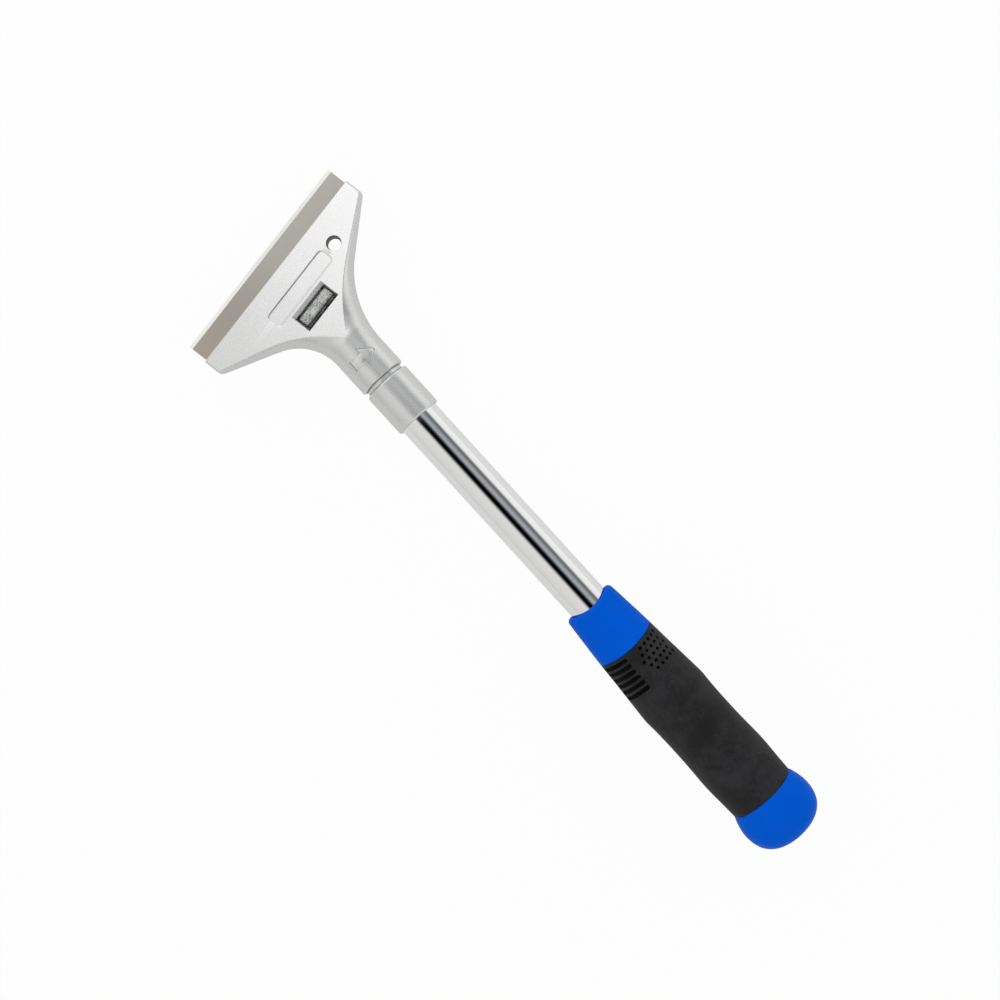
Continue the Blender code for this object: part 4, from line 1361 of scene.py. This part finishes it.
def dimple_depth(y, angle):
    """Depth of the pits at an angle from the top, in degrees, measured towards the right."""
    row = round((DIMPLE_FIRST - y) / DIMPLE_PITCH)
    if not 0 <= row < len(DIMPLE_COUNTS):
        return 0.0
    index = round((DIMPLE_FARTHEST[row % 2] - angle) / DIMPLE_ANGLE)
    if not 0 <= index < DIMPLE_COUNTS[row]:
        return 0.0
    along = DIMPLE_FIRST - row * DIMPLE_PITCH - y
    aside = math.radians(DIMPLE_FARTHEST[row % 2] - index * DIMPLE_ANGLE - angle) * overmould_radius(y)
    return hollow(math.hypot(along, aside), DIMPLE_RADIUS, DIMPLE_DEPTH)


def hollow_depth(y, angle):
    """Depth of whatever hollow lies at an angle from the top, counted round towards the right."""
    from_top = min(angle, 360.0 - angle)
    to_side = min(from_top, 180.0 - from_top)
    return dimple_depth(y, to_side) if angle < 180.0 else groove_depth(y, to_side)


def hollow_share(place):
    """How deep in a hollow a point of the finished mesh lies, from 0 to about 1."""
    x, y, z = place.x / MM - AXIS_X, place.y / MM - NECK_END, place.z / MM
    angle = math.degrees(math.atan2(x, z)) % 360.0
    up = math.cos(math.radians(angle))
    return hollow_depth(y + sway_at(y) * up * up, angle) / DIMPLE_DEPTH


def sway_at(y):
    """The sway of the band's seam, which fades out along the grip."""
    return SEAM_SWAY * max(0.0, 1 - (BAND_REAR - y) / SWAY_FADE)


print(f"the grip is {2 * overmould_radius(GROOVE_FIRST):.1f} mm across at the first groove")


# %% Make the overmould
def overmould_ring(y, sway):
    ring = []
    for column in range(COLUMNS):
        angle = 360.0 * column / COLUMNS
        here = overmould_radius(y) - hollow_depth(y, angle)
        up = math.cos(math.radians(angle))
        ring.append((here * math.sin(math.radians(angle)), y - sway * up * up, here * up))
    return ring


def overmould_stations(front, rear):
    """Close rings over the grooves and the pits, then wider ones to the rear rim."""
    first = front - RIM_EASE
    stations = [first - FINE_SPACING * step for step in range(FINE_STEPS + 1)]
    stations += [stations[-1] - COARSE_SPACING * step for step in range(1, COARSE_STEPS + 1)]
    return [y for y in stations if y > rear + 0.4] + [rear + RIM_EASE]


def make_overmould():
    front = BAND_REAR - SEAM_GAP
    rear = CAP_FRONT + SEAM_GAP / 2
    inner = CORE_RADIUS + GAP
    rings = [circle(front, overmould_radius(front) - RIM_EASE, SEAM_SWAY, COLUMNS)]
    rings += [overmould_ring(y, sway_at(y)) for y in overmould_stations(front, rear)]
    rings.append(circle(rear, overmould_radius(rear) - RIM_EASE, 0.0, COLUMNS))
    rings += [circle(rear, inner, 0.0, COLUMNS), circle(front, inner, SEAM_SWAY, COLUMNS)]
    overmould = new_mesh("black_grip", *skin(rings, closed=True), BLACK, sharp=OVERMOULD_SHARP)
    # Faces deep in a groove or a pit get the near-black rubber, as painted shade in the hollows
    overmould.data.materials.append(PAINTED_GROOVE_SHADE)
    for face in overmould.data.polygons:
        if hollow_share(face.center) > PAINTED_SHADE_FROM:
            face.material_index = 1
    combine(overmould, keys("keyway", GAP), sharp=OVERMOULD_SHARP)
    return overmould


dress(make_overmould(), "handle", "grip_overmould")

# %% [markdown]
# ## The end cap
#
# A blue bulb closes the grip. Its outline is a short shoulder, a round belly and a closed end, all one
# smooth curve through a few diameters, and a hollow spigot inside plugs the core.

# %% Make the end cap
CAP_STATIONS = (
    (-249.7, 16.05), (-250.5, 16.5), (-252.0, 17.05), (-254.5, 17.75), (-257.0, 18.2), (-260.0, 18.325),
    (-263.0, 17.975), (-265.0, 17.45), (-267.0, 16.6), (-269.0, 15.1), (-270.7, 13.15), (-272.0, 10.75),
    (-273.0, 7.4), (-273.5, 3.0),
)
CAP_SPIGOT_RADIUS = 9.4
CAP_SPIGOT_FRONT = -238.0
CAP_SPIGOT_CHAMFER = 0.5
CAP_SHOULDER_RADIUS = 15.8
CAP_ROOM = ((-237.0, 7.6), (-261.4, 7.1))


def make_cap():
    front = CAP_FRONT - SEAM_GAP / 2
    outside = [(CAP_SPIGOT_FRONT, CAP_SPIGOT_RADIUS - CAP_SPIGOT_CHAMFER),
               (CAP_SPIGOT_FRONT - CAP_SPIGOT_CHAMFER, CAP_SPIGOT_RADIUS),
               (front, CAP_SPIGOT_RADIUS), (front, CAP_SHOULDER_RADIUS)]
    outside += smooth_run(CAP_STATIONS, 5)
    cap = turned("end_cap", outside, BLUE)
    combine(cap, [turned("cap_room", CAP_ROOM)])
    return cap


dress(make_cap(), "handle", "grip_end_cap")

# %% [markdown]
# ## The studio
#
# The tool is photographed from straight above, on white, inside a soft tent with a dark opening over it
# where the camera looks in. The chromed tube shows the opening: pale walls on both sides, and one black
# band with a grey one beside it. The silver casting shows the tent in front of it and behind it. The world
# is built the same way, as two rows of brightness against direction, and lights everything.

# %% Light the world
scene = bpy.context.scene
scene.view_settings.view_transform = "Standard"

# Angle from straight up, leaning to the right of the handle, then the brightness of the opening there
OPENING = (
    (-90, 0.62, 0.61, 0.60), (-78, 0.68, 0.67, 0.66), (-32, 0.74, 0.74, 0.73), (-24, 0.68, 0.68, 0.67),
    (-18, 0.33, 0.33, 0.33), (-12, 0.03, 0.03, 0.032), (-7, 0.001, 0.001, 0.002), (1, 0.001, 0.001, 0.002),
    (6, 0.012, 0.013, 0.015), (12, 0.13, 0.135, 0.145), (18, 0.34, 0.36, 0.38), (24, 0.37, 0.40, 0.43),
    (31, 0.31, 0.33, 0.34), (37, 0.23, 0.235, 0.24), (43, 0.14, 0.145, 0.15), (49, 0.16, 0.165, 0.17),
    (56, 0.50, 0.50, 0.50), (61, 0.86, 0.86, 0.85), (80, 0.90, 0.90, 0.89), (90, 0.92, 0.92, 0.91),
)

# The same for the tent in front of the opening and behind it
TENT = (
    (-90, 0.50, 0.50, 0.49), (-70, 0.60, 0.60, 0.59), (-45, 0.86, 0.86, 0.86), (-20, 0.95, 0.95, 0.95),
    (-12, 0.74, 0.74, 0.74), (6, 0.73, 0.73, 0.74), (20, 0.67, 0.67, 0.70), (40, 0.50, 0.51, 0.53),
    (50, 0.60, 0.60, 0.61), (58, 0.92, 0.92, 0.91), (75, 1.05, 1.05, 1.02), (90, 1.0, 1.0, 0.97),
)

# How far a direction has to lean ahead or back before the tent takes over from the opening
LEAN_AHEAD = (0.075, 0.105)
LEAN_BACK = (0.22, 0.42)
WHITE = (1.0, 1.0, 1.0)


def make_world():
    world = bpy.data.worlds.new("tent")
    world.use_nodes = True
    scene.world = world
    room = Finish(world.node_tree)
    across, ahead, up = room.split(room.node("ShaderNodeTexCoord", output="Generated"))
    turn = room.maths("ARCTAN2", across, up) * (180 / math.pi)
    bands = []
    for palette in (OPENING, TENT):
        stops = [((angle + 90) / 180, colour) for angle, *colour in palette]
        bands.append(room.node("ShaderNodeValToRGB", {"stops": stops}, {0: turn * (1 / 180) + 0.5}))
    beyond = room.step(ahead, *LEAN_AHEAD) + room.step(0.0 - ahead, *LEAN_BACK)
    lit = room.node("ShaderNodeBackground", None, {0: room.blend(beyond, *bands), 1: 1.0})
    white = room.node("ShaderNodeBackground", None, {0: WHITE, 1: 1.0})
    camera_ray = room.node("ShaderNodeLightPath", output="Is Camera Ray")
    mixed = room.node("ShaderNodeMixShader", None, {0: camera_ray, 1: lit, 2: white})
    room.tree.links.new(mixed.socket, room.tree.nodes["World Output"].inputs["Surface"])


make_world()
print("the opening has", len(OPENING), "brightness steps and the tent", len(TENT))

# %% [markdown]
# ## Floor, lamp and camera
#
# The floor is pale and lies just under the tool. Where the camera looks at it, most of its brightness is
# its own, so the picture's ground stays white while a trace of the tool's shadow remains. In the chrome
# less than half of it is, and a little more on the right, which keeps the tube's left side the greyer one.
# One broad lamp ahead of the blade and to the right gives the light a direction: its edge is what the
# head's flat face shows as a slow change from grey to nearly white. The camera hangs over the tool and
# looks straight down.

# %% Lay the floor
FLOOR_REACH = 3000.0
FLOOR_BELOW = 0.2
PAPER = (0.7, 0.7, 0.69)
GLOW = 1.02
SEEN_SHARE = 0.94
MIRRORED_SHARE = 0.4
MIRRORED_RISE = 0.07
RISE_REACH = 0.06
THROUGH_SHARE = 0.9


def glow_share(paper):
    """How much of the paper's brightness is its own, by what kind of ray looks at it."""
    seen, glossy, through = [paper.node("ShaderNodeLightPath", output=f"Is {kind} Ray")
                             for kind in ("Camera", "Glossy", "Transmission")]
    right_side = paper.step(paper.split(paper.place())[0], -RISE_REACH, RISE_REACH)
    mirrored = MIRRORED_SHARE + MIRRORED_RISE * right_side
    return SEEN_SHARE * seen + mirrored * glossy + THROUGH_SHARE * through


def make_floor():
    lowest = solid_box[0].z / MM - FLOOR_BELOW
    signs = ((-1, -1), (1, -1), (1, 1), (-1, 1))
    corners = [(across * FLOOR_REACH, ahead * FLOOR_REACH, lowest) for across, ahead in signs]
    paper = new_finish("pale_paper", PAPER, 0.9)
    floor = new_mesh("floor", corners, [(0, 1, 2, 3)], paper.material)
    matt = paper.node("ShaderNodeBsdfDiffuse", None, {0: PAPER})
    glow = paper.node("ShaderNodeEmission", None, {0: WHITE, 1: GLOW})
    mixed = paper.node("ShaderNodeMixShader", None, {0: glow_share(paper), 1: matt, 2: glow})
    paper.tree.links.new(mixed.socket, paper.tree.nodes["Material Output"].inputs["Surface"])
    return floor


make_floor()
print("floor laid")

# %% Hang the lamp and the camera
LAMP_SIZE = (0.5, 0.7)
LAMP_POWER = 0.92
LAMP_PLACE = (195.0, 680.0, 700.0)
LAMP_AIM = (0.0, -40.0, 0.0)
CAMERA_PLACE = (1.857, -74.95, 645.0)
CAMERA_LENS = 52.2
FILM_WIDTH = 36.0

# The picture's right and up directions: the handle lies across it, from the upper left to the lower right
PICTURE_RIGHT = Vector((0.7384, -0.6743, 0.0))
PICTURE_UP = Vector((0.6743, 0.7384, 0.0))


def make_lamp():
    light = bpy.data.lights.new("broad_lamp", "AREA")
    light.shape = "RECTANGLE"
    light.size, light.size_y = LAMP_SIZE
    light.energy = LAMP_POWER
    lamp = bpy.data.objects.new("broad_lamp", light)
    lamp.location = handle_point(*LAMP_PLACE)
    lamp.rotation_mode = "QUATERNION"
    lamp.rotation_quaternion = (handle_point(*LAMP_AIM) - lamp.location).to_track_quat("-Z", "Y")
    scene.collection.objects.link(lamp)


def make_camera():
    data = bpy.data.cameras.new("overhead_camera")
    data.lens = CAMERA_LENS
    data.sensor_width = FILM_WIDTH
    camera = bpy.data.objects.new("overhead_camera", data)
    back = Vector((0.0, 0.0, 1.0))
    turn = Matrix((PICTURE_RIGHT.normalized(), PICTURE_UP.normalized(), back)).transposed()
    camera.matrix_world = turn.to_4x4()
    camera.location = handle_point(*CAMERA_PLACE)
    scene.collection.objects.link(camera)
    scene.camera = camera


make_lamp()
make_camera()
print("camera at", tuple(round(value, 4) for value in scene.camera.location))
